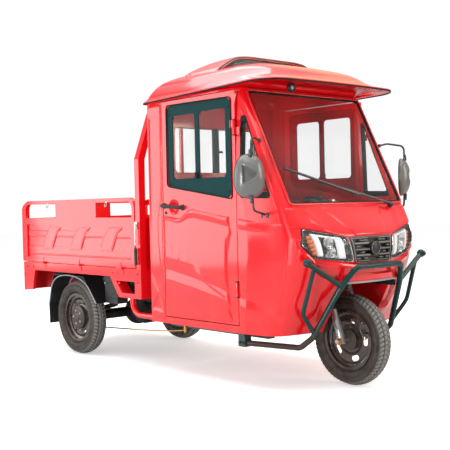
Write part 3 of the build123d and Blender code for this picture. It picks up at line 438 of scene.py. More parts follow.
def tyre(ahead, middle, half, blocks, skew):
    """A tyre in millimetres: its section is a closed line of (radius, across), swept round the axle.
    The radius is less by the depth of the grooves: slanted ones between the blocks, one on the
    middle line and one that waves along each half. They fade out on the sidewall. The third result
    is 1 on the top of a block and 0 in a groove and on the sidewall."""
    crown = np.linspace(0, half - 20, 20)
    band = np.stack([wheel_radius - 3 * np.clip(crown / (half - 36), 0, 9) ** 2, crown], 1)
    shoulder = [
        (243.5, half - 13), (236, half - 7), (228, half - 3.4), (226.6, half - 1.6), (225, half - 2.6),
        (212, half - 0.2), (203, half - 0.4), (201.5, half + 0.6), (199.5, half - 0.6),
        (192, half - 1.8), (184, half - 4), (178, half - 10), (174, 38.0), (172, 33.0), (170, 30.5),
        (165, 29.6), (158.6, 29.6), (158.2, 15.0),
    ]
    side = np.concatenate([band, shoulder])
    section = np.concatenate([side, [(158.2, 0.0)], (side * (1, -1))[::-1][:-1]])
    turn = np.linspace(0, 2 * np.pi, tyre_steps, endpoint=False)[None, :]
    radius, across = section[:, :1], section[:, 1:]
    reach = np.abs(across) / half
    phase = (turn * blocks / (2 * np.pi) + skew * reach + 0.5 * (across > 0)) % 1
    across_groove = smooth((np.abs(phase - 0.5) - 0.36) / 0.07) * smooth((reach - 0.12) / 0.1)
    path = 0.40 + 0.06 * (np.abs(2 * phase - 1) - 0.5)
    along_groove = 1 - smooth((np.abs(reach - path) - 0.035) / 0.04)
    centre_groove = 1 - smooth((np.abs(across / half - 0.05 * np.sin(turn * blocks)) - 0.03) / 0.04)
    tread = smooth((radius - 232) / 8)
    depth = 6.0 * tread * np.maximum(np.maximum(across_groove, along_groove), centre_groove)
    radius = radius - depth
    points = spots(ahead + radius * np.cos(turn), middle + across, wheel_radius + radius * np.sin(turn))
    return points, grid_faces(len(section), tyre_steps, True, True), tread * (1 - depth / 6)


wheel_places = (
    # name, body, axle's station, middle, half width, blocks round, slant
    ("front", "front_wheel", wheelbase, 0, 50, 60, 0.9),
    ("rear_right", "rear_wheel_right", 0, -448, 56, 60, -0.7),
    ("rear_left", "rear_wheel_left", 0, 448, 56, 60, -0.7),
)
for place, body, ahead, middle, half, blocks, slant in wheel_places:
    node = "front_tyre" if place == "front" else "rear_tyre_" + place[5:]
    points, faces, tops = tyre(ahead, middle, half, blocks, slant)
    item = make("tread_" + place, [(points, faces)], tread_rubber, body, 50, (node,))
    worn = item.data.attributes.new("tread_top", "FLOAT", "POINT")
    worn.data.foreach_set("value", tops.ravel().astype(np.float32))

rim_steel = Paint("brown_black_rim_enamel", (0.020, 0.016, 0.013), 0.35, metallic=0.2, coat=0.8)
brake_dust = rim_steel.noise(18.0, 6.0).ramp(0.4, 0.8)
rim_steel.set("Base Color", rim_steel.mix(brake_dust * 0.5, (0.034, 0.025, 0.020), (0.14, 0.090, 0.055)))
rim_steel.set("Roughness", rim_steel.noise(40.0) * 0.12 + 0.18 + brake_dust * 0.15)
rim_steel.bump(rim_steel.noise(90.0, 3.0), 0.05, 0.001)
dress(rim_steel, "rear_rim_right", "rear_rim_left", "front_rim")

bright_steel = Paint("zinc_plated_steel", (0.55, 0.54, 0.50), (70.0, 0.2, 0.2), metallic=1.0)
hub_steel = Paint("hub_casting", (0.085, 0.070, 0.058), (55.0, 0.2, 0.32), metallic=0.6)
hub_steel.bump(hub_steel.noise(300.0, 2.0), 0.1, 0.0008)

# Hubs: cast drums with a domed pressed cap and five plated nuts on each rear wheel, and a ribbed
# drum on the front wheel. Each rim has a rubber-stemmed tyre valve.
dome = [
    (0, 47), (22, 46.5), (30, 44), (34, 38.5), (60, 36.5), (74, 34.5), (80.5, 30.5), (81.5, 24), (81.5, 6),
    (70, 6), (0, 6),
]
for place, side in (("rear_right", -1), ("rear_left", 1)):
    cap = knob(dome, 0, side * 448, wheel_radius, 1, 96, side)
    ring = knob(round_section(60, 36.5, 2.2), 0, side * 448, wheel_radius, 1, 96, side, True)
    make("hub_cap_" + place, [cap, ring], hub_steel, "rear_wheel_" + place[5:], 30)
    studs = []
    for turn in 2 * np.pi * (np.arange(5) + 0.5) / 5:
        ahead, y, z = 47 * math.cos(turn), side * 482.5, wheel_radius + 47 * math.sin(turn)
        nut = [(0, 0), (8.5, 0), (8.5, 5.25), (7.31, 7), (0, 7)]
        stud = [(0, 0), (3.825, 0), (3.825, 9.45), (2.55, 10.5), (0, 10.5)]
        studs += [knob(nut, ahead, y, z, 1, 6, side), knob(stud, ahead, y, z, 1, 12, side)]
    make("hub_nuts_" + place, studs, bright_steel, "rear_wheel_" + place[5:], 25)
valve = [(0, 6), (5.5, 6), (5.5, 18), (4, 22), (4, 36), (2.8, 38), (0, 38)]
for place, body, ahead, middle, *_ in wheel_places:
    stem = knob(valve, ahead + 128, middle, wheel_radius + 48, 1, 16, 1 if place == "rear_left" else -1)
    make("valve_" + place, [stem], rubber, body, 30)
drum_rings = []
for r, out in ((54, 32.5), (44, 34.5), (34, 36.5)):
    for side in (-1, 1):
        ring = [(0, out), (r, out), (r + 2, out - 1.5), (r + 3, 24), (0, 24)]
        drum_rings.append(knob(ring, wheelbase, 0, wheel_radius, 1, 72, side))
make("front_drum", drum_rings, hub_steel, "front_wheel", 30)

# Front fork: a silver casting, with a rubber wiper where each upper tube enters its slider, and a
# plain washer under a brass nut on each end of the axle.
fork_silver = Paint("silver_fork_casting", (0.50, 0.51, 0.52), (50.0, 0.2, 0.2), metallic=0.85)
fork_stain = fork_silver.noise(26.0, 4.0).ramp(0.45, 0.8) * 0.6
fork_silver.set("Base Color", fork_silver.mix(fork_stain, (0.55, 0.56, 0.57), (0.20, 0.17, 0.14)))
dress(fork_silver, "front_fork")
brass = Paint("brass_nut", (0.62, 0.34, 0.09), (80.0, 0.2, 0.2), metallic=1.0)
rake = math.radians(17)


def on_fork(z, forward=35.0):
    """The station in millimetres of a line parallel to the steering axis, at a height."""
    return wheelbase - 35 + forward - (z - wheel_radius) * math.tan(rake)


axle_nuts, fork_seals = [], []
wiper_z = np.array((424, 428, 432, 440, 446, 450, 456, 462))
wiper_radius = [0.0215, 0.0235, 0.0235, 0.0215, 0.0225, 0.0205, 0.0195, 0.0180]
for side in (-1, 1):
    washer = [(0, 0), (21, 0), (21, 3), (0, 3)]
    axle_nuts.append(knob(washer, wheelbase, side * 108, wheel_radius, 1, 40, side))
    nut = [(0, 3), (16.5, 3), (16.5, 13), (14.5, 15.2), (0, 15.2)]
    axle_nuts.append(knob(nut, wheelbase, side * 108, wheel_radius, 1, 6, side))
    fork_seals.append(piped(spots(on_fork(wiper_z), side * 86, wiper_z), wiper_radius, 32))
make("fork_axle_nuts", axle_nuts, brass, "steering_body", 25)
make("fork_seals", fork_seals, rubber, "steering_body", 40)

# Running gear: a welded axle with a cast differential housing, an electric motor beside it with
# cooling ribs, and leaf springs clamped by U bolts, all sprayed chassis black and dusty.
black_paint = Paint("black_chassis_paint", (0.012, 0.012, 0.013), (35.0, 0.2, 0.36))
settled = black_paint.noise(12.0, 6.0).ramp(0.45, 0.85)
black_paint.set("Base Color", black_paint.mix(settled * 0.5, (0.012, 0.012, 0.013), (0.075, 0.065, 0.055)))
black_paint.bump(black_paint.noise(220.0, 2.0), 0.08, 0.0008)
dress(black_paint, "battery_boxes", "leaf_springs", "rear_axle", "drive_motor", "rear_mudguards")

ribs = []
for y in range(-30, 175, 14):
    rib = [(79, y - 2.2), (87.5, y - 1.2), (87.5, y + 1.2), (79, y + 2.2)]
    ribs.append(knob(rib, 165, 0, 267, 1, 72, 1, True))
end_cover = [(0, 199), (60, 199), (60, 206), (52, 212), (18, 212), (18, 216), (0, 216)]
ribs.append(knob(end_cover, 165, 0, 267, 1, 48))
make("motor_ribs", ribs, hub_steel, "vehicle", 30)

clamps = []
for side in (-1, 1):
    for x in (-34, 34):
        loop = [(x, 291, 300), (x, 291, 214), (x, 303, 209), (x, 347, 209), (x, 359, 214), (x, 359, 300)]
        clamps.append(piped(placed(rounded(loop, 2), side), 0.006, 10))
    for x, y in ((-34, 291), (34, 291), (-34, 359), (34, 359)):
        clamps.append(knob([(0, 0), (10, 0), (10, 9), (0, 9)], x, side * y, 300, 2, 6))
make("spring_clamps", clamps, bright_steel, "vehicle", 30)

# Mudguards: folded black sheet over a hanging rubber flap, with a pale grey rolled bead along each
# edge that is a painted highlight: the line of light that the edge catches. The battery and
# control boxes beside them have a folded lid and pressed ribs on their outer sides.
# This pale grey paints the highlight on the mudguards' edges. The wheel arch's lip wears it as a pale rubber
# edge.
pale_trim_and_highlight = Paint("pale_grey_trim_and_painted_highlight", (0.34, 0.35, 0.36), (60.0, 0.2, 0.32))
guard_line = [(-333, 330), (-268, 548), (130, 548), (286, 372)]
edges = []
for side in (-1, 1):
    for y in (368, 512):
        edges.append(piped(placed(rounded([(a, y, z) for a, z in guard_line], 3), side), 0.0045, 10))
make("mudguard_painted_highlight", edges, pale_trim_and_highlight, "vehicle", 50)
box_lid = [(294, 532), (451, 532), (451, 549), (447, 553), (298, 553), (294, 549)]
box_rib = [(310, -4), (435, -4), (439, 0), (435, 4), (310, 4), (306, 0)]
box_trim = []
for side in (-1, 1):
    box_trim.append(plate(box_lid, side * 358, side * 449, 1))
    for z in (405, 440, 475, 510):
        box_trim.append(plate([(a, z + b) for a, b in box_rib], side * 444, side * 447.5, 1))
make("side_box_lids", box_trim, black_paint, "vehicle", 30, bevel=0.001)

# Red paint: every body panel and the whole bed are pressed steel, sprayed bright red with a clear
# gloss coat that has a faint orange peel. A little pale dust lies low down and in rough spots.
red_paint = Paint("gloss_red_paint", (0.78, 0.004, 0.009), 0.32, coat=1.0, coat_roughness=0.09)
low_down = 1 - red_paint.part(red_paint.place(), "Z").ramp(0.20, 0.70)
dust = low_down * red_paint.noise(11.0, 6.0).ramp(0.45, 0.85) * 0.16
shade = red_paint.noise(2.2, 2.0) * 0.35
tone = red_paint.mix(shade, (0.80, 0.004, 0.010), (0.70, 0.003, 0.006))
red_paint.set("Base Color", red_paint.mix(dust, tone, (0.42, 0.16, 0.12)))
red_paint.set("Roughness", red_paint.noise(35.0) * 0.08 + 0.26 + dust * 0.6)
red_paint.bump(red_paint.noise(340.0, 1.0), 0.02, 0.0004)
red_paint.set("Specular IOR Level", 0.2)

# Bed: folded rails on the bearers, a chequered steel floor with a pattern of raised lozenges, and
# a gantry of square tube behind the cab. Skirts and brackets are welded on below.
dress(red_paint, "bed_rails", "side_brackets", "rear_skirt", "bed_gantry", "bed_hinges")
dress(red_paint, "lower_guard_tubes")
worn_floor = Paint("worn_red_floor_paint", (0.40, 0.012, 0.012), (30.0, 0.25, 0.35), coat=0.2)
scuff = worn_floor.noise(16.0, 7.0).ramp(0.46, 0.74)
worn_floor.set("Base Color", worn_floor.mix(scuff * 0.30, (0.50, 0.010, 0.012), (0.22, 0.07, 0.06)))
worn_floor.set("Metallic", scuff * 0.25)
dress(worn_floor, "bed_floor")
pitch, first_row, slant = 38.0, 22, 0.7071
across, along = np.meshgrid(np.arange(-13, 14) * pitch, np.arange(-14, 21) * pitch + first_row)
even = (np.round(across / pitch) + np.round((along - first_row) / pitch)) % 2 == 0
lean, here_x, here_y = np.where(even, 1.0, -1.0).ravel(), along.ravel(), across.ravel()
turn = np.linspace(0, 2 * np.pi, 8, endpoint=False)[:, None, None]
lug_x = 13.0 * np.cos(turn) * np.array((1.0, 0.55))[None, :, None]
lug_y = 4.2 * np.sin(turn) * np.array((1.0, 0.45))[None, :, None]
lug_points = spots(
    here_x + (lug_x - lug_y * lean) * slant,
    here_y + (lug_x * lean + lug_y) * slant,
    np.array((629.4, 632.0))[None, :, None],
).transpose(2, 1, 0, 3)
lug_faces = [*grid_faces(2, 8, False, True).tolist(), list(range(15, 7, -1)), list(range(8))]
lug_starts = range(0, here_x.size * 16, 16)
lug_all = [[start + corner for corner in face] for start in lug_starts for face in lug_faces]
make("floor_lozenges", [(lug_points, lug_all)], worn_floor, "vehicle", 30)


# Drop sides and tailboard: a frame of folded sheet round a pressed panel, a tube loop above it with
# a bare name plate, and zinc-plated hooks and latches. The panel has two long flats and a row of
# leaning waves, which stand out 7 mm with sloping sides.
dress(red_paint, "side_board_right", "side_board_left", "tailboard")
board_creases = ((56, 115), (188, 227))
board_wave = (
    (0, 101), (138, 101), (143, 122), (198, 211), (250, 251), (105, 253), (55, 213), (0, 122),
)
both_sides = (("right", -1), ("left", 1))


def inside_by(x, z, outline):
    """How far points lie inside an outline: the distance to its nearest side, less than nought
    outside it, where the count of sides that a ray crosses is even."""
    nearest, crossed = np.full(x.shape, 1e9), np.zeros(x.shape, bool)
    for (x0, z0), (x1, z1) in zip(outline, (*outline[1:], outline[0])):
        run_x, run_z = x1 - x0, z1 - z0
        part = np.clip(((x - x0) * run_x + (z - z0) * run_z) / (run_x**2 + run_z**2), 0, 1)
        nearest = np.minimum(nearest, np.hypot(x - x0 - part * run_x, z - z0 - part * run_z))
        if z0 != z1:
            crossed ^= ((z0 > z) != (z1 > z)) & (x < x0 + (z - z0) * run_x / run_z)
    return np.where(crossed, nearest, -nearest)


def pressing(length, waves):
    """Depth in millimetres behind the board's face over its panel: 11.5 on the ground, less 3.2 on
    each long flat and up to 7.4 on a wave, with S-shaped ramps 6 to 10 mm wide."""
    x = np.linspace(41, length - 41, int((length - 82) / 5.5))[None, :]
    z = np.linspace(35, 272, 66)[:, None]
    x, z = np.broadcast_arrays(x, z)
    relief = np.zeros(x.shape)
    ends = smooth((x - 41) / 10) * smooth((length - 41 - x) / 10)
    for low, high in board_creases:
        edge = np.minimum(z - low, high - z)
        relief = np.maximum(relief, 3.2 * smooth((edge + 3) / 6) * ends)
    for start in waves:
        relief = np.maximum(relief, 7.4 * smooth((inside_by(x - start, z, board_wave) + 2) / 9))
    relief += 0.35 * np.sin(x / 71) * np.sin(z / 43)
    return x, z, 11.6 - relief


board_frames = (
    # name, body, length, starts of the waves
    ("side_board_right", "side_board_right_body", 1402, (256, 631, 1006)),
    ("side_board_left", "side_board_left_body", 1402, (256, 631, 1006)),
    ("tailboard", "tailboard_body", 0, (90, 430, 770)),
)
for name, body, length, waves in board_frames:
    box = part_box(name)
    if name == "tailboard":
        length = (box[1][1] - box[0][1]) * 1000
    x, z, depth = pressing(length, waves)
    if name == "tailboard":
        face_x = box[0][0] * 1000 + 14 + 8
        front = np.stack([face_x + depth, length / 2 - x, 635 + z], -1) / 1000
        back = np.stack([face_x + 13.5 + 0 * depth, length / 2 - x, 635 + z], -1) / 1000
    else:
        side = -1 if name.endswith("right") else 1
        front = spots(x - 586, side * (560 - depth), 635 + z)
        back = spots(x - 586, side * (546.5 + 0 * depth), 635 + z)
    make(name + "_pressing", [skin(front, back)], red_paint, body, 35)

hook_bends = np.array((
    (0, 557, 1056), (0, 557, 1040), (-4, 556, 1030), (-16, 556, 1022), (-22, 556, 1030), (-24, 556, 1040),
))
for name, side in both_sides:
    hooks = []
    for x in (-238, 509):
        hooks.append(piped(placed(rounded(hook_bends + (x, 0, 0), 2), side), 0.0032, 10))
        hooks.append(pillow(spots(x - 2, side * 557, 1053), (0.009, 0.004, 0.004)))
    body = f"side_board_{name}_body"
    make("rail_hooks_" + name, hooks, bright_steel, body, 40)

# Side latches: a plated loop in a bracket on the gantry post, pulled tight by a lever in a black
# rubber grip. Bolts hold the hinges' leaves and the brackets.
dress(bright_steel, "bed_latches")
grip_z = (657, 660, 668, 680, 700, 720, 740, 752, 760, 764)
grip_radius = [0.007, 0.010, 0.0105, 0.0095, 0.0105, 0.0095, 0.0105, 0.0098, 0.009, 0.007]
bolt = [(0, 0), (9.5, 0), (9.5, 1.5), (6.5, 1.6), (6.5, 5.0), (0, 5.5)]
bolt_places = (
    (-560, 600), (-470, 600), (560, 600), (836, 600), (836, 545), (640, 536), (-592, 450), (-592, 540),
)
grips, bolts = [], []
for side in (-1, 1):
    grips.append(piped(spots(844, side * 574, grip_z), grip_radius, 18))
    for x, z in bolt_places:
        bolts.append(knob(bolt, x, side * 560, z, 1, 6, side))
    for x in (-337, 142, 637):
        for step in (33, 45):
            bolts.append(knob([(0, 0), (4, 0), (3, 1.8), (0, 2.5)], x + step, side * 563, 612, 1, 12, side))
make("latch_grips", grips, rubber, "vehicle", 40)
make("bed_bolts", bolts, red_paint, "vehicle", 25)

# Cab shell: pressed steel panels spot-welded into one body, in gloss red. The front corner is one
# smooth sweep from the side round to the nose, with a shut line where the nose panel meets the side,
# and long soft folds that run back over the doors.
dress(red_paint, "cab_rear_panel", "cab_side_right", "cab_side_left", "nose_panel", "cab_floor")
dress(red_paint, "door_hinges")
cab_levels = np.array((
    # height, where the side starts to turn in, corner, corner's half width, nose, rounding
    (315, 1790, 1990, 500, 2060, 70),
    (460, 1800, 2045, 502, 2150, 70),
    (600, 1810, 2085, 503, 2232, 70),
    (700, 1820, 2118, 504, 2248, 70),
    (832, 1820, 2140, 504, 2236, 70),
    (1000, 1800, 2078, 508, 2090, 60),
    (1656, 1600, 1754, 508, 1760, 50),
), float)
cab_half = 535.0


def glide(where, places, values):
    """A smooth curve through points: on each run a cubic whose slope at either end is the mean of
    the slopes of the runs that meet there."""
    slope = np.diff(values) / np.diff(places)
    ends = np.concatenate([slope[:1], (slope[1:] + slope[:-1]) / 2, slope[-1:]])
    run = np.clip(np.searchsorted(places, where, side="right") - 1, 0, len(places) - 2)
    width = places[run + 1] - places[run]
    part = np.clip((where - places[run]) / width, 0, 1)
    rest = 1 - part
    return (
        rest**2 * (1 + 2 * part) * values[run] + part**2 * (3 - 2 * part) * values[run + 1]
        + part * rest * width * (rest * ends[run] - part * ends[run + 1])
    )


def cab_plan(z):
    """The cab's front in plan at a height: the station where the side starts to turn in, the
    corner's station and half width, the nose's station, and the station and half width where the
    corner's curve meets the side and where it meets the nose."""
    side_end, corner, corner_y, nose, rounding = (
        glide(z, cab_levels[:, 0], cab_levels[:, k]) for k in range(1, 6)
    )
    turn_x, turn_y = corner - rounding, corner_y + (cab_half - corner_y) * rounding / (corner - side_end)
    meet_x = corner + (nose - corner) * 2 * rounding / corner_y * (1 - rounding / (2 * corner_y))
    return side_end, corner, corner_y, nose, turn_x, turn_y, meet_x, corner_y - rounding


def bend(part, start, middle, end):
    """A quadratic curve from start to end, drawn toward the middle."""
    return (1 - part) ** 2 * start + 2 * part * (1 - part) * middle + part**2 * end


def cab_front(turn, z):
    """Station and distance from the middle of the cab's front at a height. Turn 0 to 1 runs from the
    middle of the nose along a parabola, 1 to 2 round the corner along a quadratic curve, and 2 to 3
    back along the side."""
    side_end, corner, corner_y, nose, turn_x, turn_y, meet_x, meet_y = cab_plan(z)
    first, second, third = (np.clip(turn - start, 0, 1) for start in (0, 1, 2))
    x = bend(second, meet_x, corner, turn_x) + (side_end - turn_x) * third
    y = bend(second, meet_y, corner_y, turn_y) + (cab_half - turn_y) * third
    x = np.where(turn <= 1, nose - (nose - meet_x) * first**2, x)
    return x, np.where(turn <= 1, meet_y * first, y)


def seam(z):
    """The station of the shut line between the nose panel and the side at a height."""
    return np.interp(z, (300, 462, 600, 700, 832, 1000), (1950, 2012, 2060, 2086, 2100, 2046))


def nose_sheet(turns, z_low, z_high, relief, rows):
    """A skin over the nose: the cab's front pushed forward by a relief of (distance from middle,
    height) and closed 3.5 mm behind. Rows run between two heights that depend on the distance."""
    part = np.linspace(0, 1, rows)[:, None]
    turn, guess = turns[None, :] + 0 * part, np.abs(turns)[None, :] + 0 * part
    y_guess = np.clip(guess, 0, 1) * 434 + np.clip(guess - 1, 0, 1) * 80
    low, high = z_low(y_guess), z_high(y_guess)
    z = low + (high - low) * part
    x, y = cab_front(np.abs(turn), z)
    edge = smooth(part / 0.05) * smooth((1 - part) / 0.05) * smooth((turns[-1] - np.abs(turn)) / 0.03)
    proud = 1.6 * edge - 0.5 + relief(y, z) * edge
    lean = np.clip((y - 380) / 140, 0, 1)
    norm_x, norm_y = np.cos(lean * 1.1), np.sin(lean * 1.1)
    side = np.where(turn < 0, -1.0, 1.0)
    front = spots(x + proud * norm_x, side * (y + proud * norm_y), z)
    back = spots(x - 3.5 * norm_x, side * (y - 3.5 * norm_y), z)
    return skin(front, back)


def hood_relief(y, z):
    """Millimetres that the hood's folds stand out: a raised middle field between two folds that
    spread upward, and a soft hollow beside each that ends at a second fold over the lamp."""
    inner = 120 + (z - 835) * 0.75
    outer = 292 + (z - 835) * 0.62
    ridge = 6.5 * smooth((inner - y + 6) / 13)
    cheek = 7.0 * np.exp(-((y - outer) / 34) ** 2) * smooth((z - 850) / 40)
    brow = 3.5 * smooth((y - outer) / 60) * smooth((z - 870) / 40)
    return ridge + cheek + brow


def cheek_relief(y, z):
    """Millimetres that the lower nose's folds stand out: a lip under the lamps and grille, and a
    soft fold that runs down and back from the lamp's lower corner."""
    under = np.interp(y, (0, 150, 392, 468), (686, 686, 720, 792))
    lip = 6.5 * np.exp(-((under - z - 16) / 12) ** 2) * (y < 470)
    fold = 5.0 * np.exp(-((y - (300 + (z - 400) * 0.28)) / 26) ** 2)
    fold = fold * smooth((z - 360) / 80) * smooth((680 - z) / 60)
    return lip + fold


turns = np.concatenate([-np.linspace(1.52, 0, 96)[:-1], np.linspace(0, 1.52, 96)])
hood = nose_sheet(
    turns,
    lambda y: np.interp(y, (0, 178, 452, 470, 500), (838, 838, 889, 893, 900)),
    lambda y: np.interp(y, (0, 520), (998, 994)),
    hood_relief, 30,
)
lower = nose_sheet(
    turns,
    lambda y: np.interp(y, (0, 244, 252), (633, 633, 334)),
    lambda y: np.interp(y, (0, 150, 392, 462, 478, 520), (687, 687, 721, 790, 878, 886)),
    cheek_relief, 48,
)
make("nose_skin", [hood, lower], red_paint, "vehicle", 50)

# Side folds: an S-shaped fold sweeps under the door handle and fades out on the front panel, with
# softer ones below it. Each is (millimetres that it stands out, line of stations and heights).
side_folds = (
    (0.0, (
        (1092, 964), (1212, 947), (1250, 950), (1325, 992), (1371, 1000), (1521, 977), (1736, 945),
        (1990, 910),
    )),
    (5.5, (
        (1092, 953), (1212, 929), (1250, 932), (1325, 973), (1371, 980), (1521, 958), (1736, 916),
        (1990, 868),
    )),
    (0.0, (
        (1092, 938), (1211, 917), (1249, 920), (1324, 944), (1370, 946), (1520, 923), (1736, 887),
        (1990, 856),
    )),
    (4.0, ((1092, 911), (1386, 872), (1686, 830), (1990, 762))),
    (5.5, ((1092, 700), (1358, 650), (1500, 612), (1736, 560), (1990, 520))),
    (0.5, ((1092, 648), (1358, 606), (1490, 575), (1736, 520), (1990, 470))),
    (4.5, ((1092, 590), (1391, 538), (1674, 483), (1990, 420))),
    (2.5, ((1092, 458), (1388, 443), (1672, 428), (1990, 400))),
    (0.0, ((1092, 366), (1990, 366))),
)
top_fold = np.array(side_folds[0][1]).T


def fold_rows(x, per_fold):
    """Heights and reliefs of rows that follow the folds: between two folds both go evenly."""
    lines = np.array([np.interp(x, *np.array(line).T) for _, line in side_folds])
    stand = np.array([relief for relief, _ in side_folds])
    spot = np.linspace(0, len(side_folds) - 1, (len(side_folds) - 1) * per_fold + 1)
    run = np.minimum(spot.astype(int), len(side_folds) - 2)
    part = spot - run
    z = lines[run] * (1 - part)[:, None] + lines[run + 1] * part[:, None]
    relief = (stand[run] * (1 - part) + stand[run + 1] * part)[:, None] + 0 * z
    return z, relief


def side_skins(name, body, x, y, inner_y, z, step=0.0):
    """A pressed skin on either side of the cab, closed at an inner Y and a step back."""
    for place, side in both_sides:
        sheet = skin(spots(x, side * y, z), spots(x - step, side * (inner_y + 0 * x), z))
        make(name + place, [sheet], red_paint, body.format(place), 60)


# Doors: a pressed outer skin over a box frame. The skin has the side folds, a diagonal crease that
# opens into a wedge, and a field whose front border waves in and out before a flat margin.
dress(red_paint, "door_right", "door_left")
x = np.linspace(1092, 1735, 140)
z, relief = fold_rows(x, 7)
x = x[None, :] + 0 * z
border_z = (365, 433, 478, 521, 658, 797, 863, 934, 1008)
border = np.interp(z, border_z, (1711, 1672, 1682, 1667, 1655, 1660, 1695, 1677, 1708))
field = smooth((border - x) / 20) * smooth((x - 1093) / 14)
diagonal = np.interp(x, (1101, 1500, 1675), (815, 590, 522)) - z
wedge = np.interp(x, (1101, 1490, 1640), (0.5, 26, 30))
crease = np.where((diagonal > 0) & (diagonal < wedge), diagonal / wedge, 0)
crease = crease * 3.2 * smooth((x - 1101) / 60) * smooth((1660 - x) / 60)
top = smooth((np.interp(x, *top_fold) - z) / 6)
stand = field * (2.2 + relief + crease) * top * smooth((z - 366) / 10) + 0.7 * top - 0.3
side_skins("door_pressing_", "door_{}_body", x, cab_half + stand, cab_half - 2.0, z)

# Front side panels: the folds of the door run on and fade, and the panel turns in to the nose.
part = np.linspace(0, 1, 66)
reach = 1746 + (2040 - 1746) * part
z, relief = fold_rows(reach, 7)
x = 1746 + (seam(z) - 2.0 - 1746) * part[None, :]
side_end, corner, corner_y, nose, turn_x, turn_y, meet_x, meet_y = cab_plan(z)
first, second = turn_x - 2 * corner + meet_x, 2 * (corner - turn_x)
root = (-second + np.sqrt(np.maximum(second**2 - 4 * first * (turn_x - x), 0))) / (2 * first)
straight = cab_half + (turn_y - cab_half) * (x - side_end) / (turn_x - side_end)
y = np.where(x < turn_x, straight, bend(root, turn_y, corner_y, meet_y))
y = np.where(x < side_end, cab_half, y)
fade = smooth((1985 - x) / 190) * smooth((x - 1746) / 8)
top = smooth((np.interp(x, *top_fold) - z) / 8) * smooth((z - 368) / 10)
stand = 1.6 * smooth((x - 1746) / 6) * top + fade * relief * top - 0.5
side_skins("front_side_pressing_", "vehicle", x, y + stand, y - 3.0, z, 1.0)

# Rear pillars: a long waisted hollow is pressed between the door and the cab's rear corner, with a
# three-cornered one below it.
pillar_hollow = (
    (964, 1560), (956, 966), (951, 844), (952, 599), (1019, 504), (1062, 573), (1033, 845), (1036, 935),
    (1064, 1056), (1072, 1145), (1072, 1560),
)
pillar_foot = ((959, 396), (1022, 492), (1072, 380))
x, z = np.meshgrid(np.linspace(948, 1083, 34), np.linspace(336, 1636, 150))
hollow = smooth((inside_by(x, z, pillar_hollow) + 4) / 14)
hollow = np.maximum(hollow, smooth((inside_by(x, z, pillar_foot) + 3) / 10))
edge = smooth((x - 948) / 7) * smooth((1083 - x) / 7) * smooth((z - 336) / 10) * smooth((1636 - z) / 30)
stand = edge * (5.2 - 4.4 * hollow) - 0.3
side_skins("pillar_pressing_", "vehicle", x, cab_half + stand, cab_half - 2.0, z)

# Roof: one deep-drawn cap with a rolled lip, a long visor with an arched edge, and a soft crown,
# hollow over the cab. A thin black rubber bead is pressed on all round the lip.
roof_levels = np.array((
    # height at the back and the front, back, front, half width, back corner, front corner, bow
    (1643, 1674, 930, 2045, 560, 30, 150, 30),
    (1651, 1682, 930, 2049, 562, 30, 150, 30),
    (1662, 1690, 941, 2018, 553, 38, 150, 30),
    (1700, 1706, 950, 1945, 533, 55, 150, 30),
    (1734, 1735, 962, 1895, 508, 65, 150, 30),
    (1760, 1761, 988, 1860, 486, 85, 150, 30),
    (1780, 1781, 1020, 1826, 452, 100, 150, 30),
    (1800, 1801, 1075, 1772, 398, 110, 150, 30),
    (1824, 1824, 1150, 1680, 320, 110, 130, 30),
    (1840, 1840, 1260, 1590, 230, 90, 90, 30),
), float)
roof_under = np.array((
    (1643, 1674, 934, 2041, 556, 30, 148, 30),
    (1645, 1677, 943, 1998, 537.5, 28, 140, 30),
    (1657, 1686, 948, 1945, 528, 28, 130, 30),
    (1657, 1688, 955, 1880, 520, 30, 110, 28),
    (1657, 1684, 965, 1800, 512, 35, 80, 20),
    (1658, 1664, 980, 1752, 500, 45, 60, 8),
    (1657, 1658, 990, 1735, 490, 50, 50, 6),
    (1700, 1700, 990, 1735, 490, 50, 50, 30),
    (1738, 1738, 1010, 1720, 455, 60, 60, 30),
    (1776, 1776, 1120, 1610, 330, 90, 90, 30),
    (1806, 1806, 1290, 1520, 190, 80, 80, 30),
), float)


def roof_rings(levels):
    """Closed rings, one to a level: half a rounded rectangle from its back round to its front,
    whose front edge is bowed by a parabola, and then the same mirrored. A tilted level rises evenly
    from its back to its front."""
    columns = (levels[:, k : k + 1] for k in range(8))
    z_back, z_front, back, front, half, back_round, front_round, bow = columns
    side_end = front - bow
    turn = np.linspace(0, np.pi / 2, 14)[None, :]
    part = lambda count: np.linspace(0, 1, count, endpoint=False)[None, :]
    x = np.concatenate([
        back + 0 * part(10),
        back + back_round * (1 - np.cos(turn)),
        back + back_round + (side_end - front_round - back - back_round) * part(34)[:, 1:],
        side_end - front_round + front_round * np.sin(turn),
        side_end + 0 * part(30)[:, 1:],
        side_end,
    ], 1)
    y = np.concatenate([
        (half - back_round) * part(10),
        half - back_round * (1 - np.sin(turn)),
        half + 0 * part(34)[:, 1:],
        half - front_round + front_round * np.cos(turn),
        (half - front_round) * (1 - part(30)[:, 1:]),
        0 * side_end,
    ], 1)
    x = x + bow * (1 - (y / half) ** 2) * smooth((x - side_end + front_round) / front_round)
    x, y = np.concatenate([x, x[:, -2:0:-1]], 1), np.concatenate([-y, y[:, -2:0:-1]], 1)
    z = z_back + (z_front - z_back) * (x - back) / (front - back)
    return x, y, z


def between(levels, spots_on):
    """Levels at fractional places in a table, each number on a smooth curve through its column."""
    places = np.arange(len(levels), dtype=float)
    return np.stack([glide(spots_on, places, levels[:, k]) for k in range(levels.shape[1])], 1)


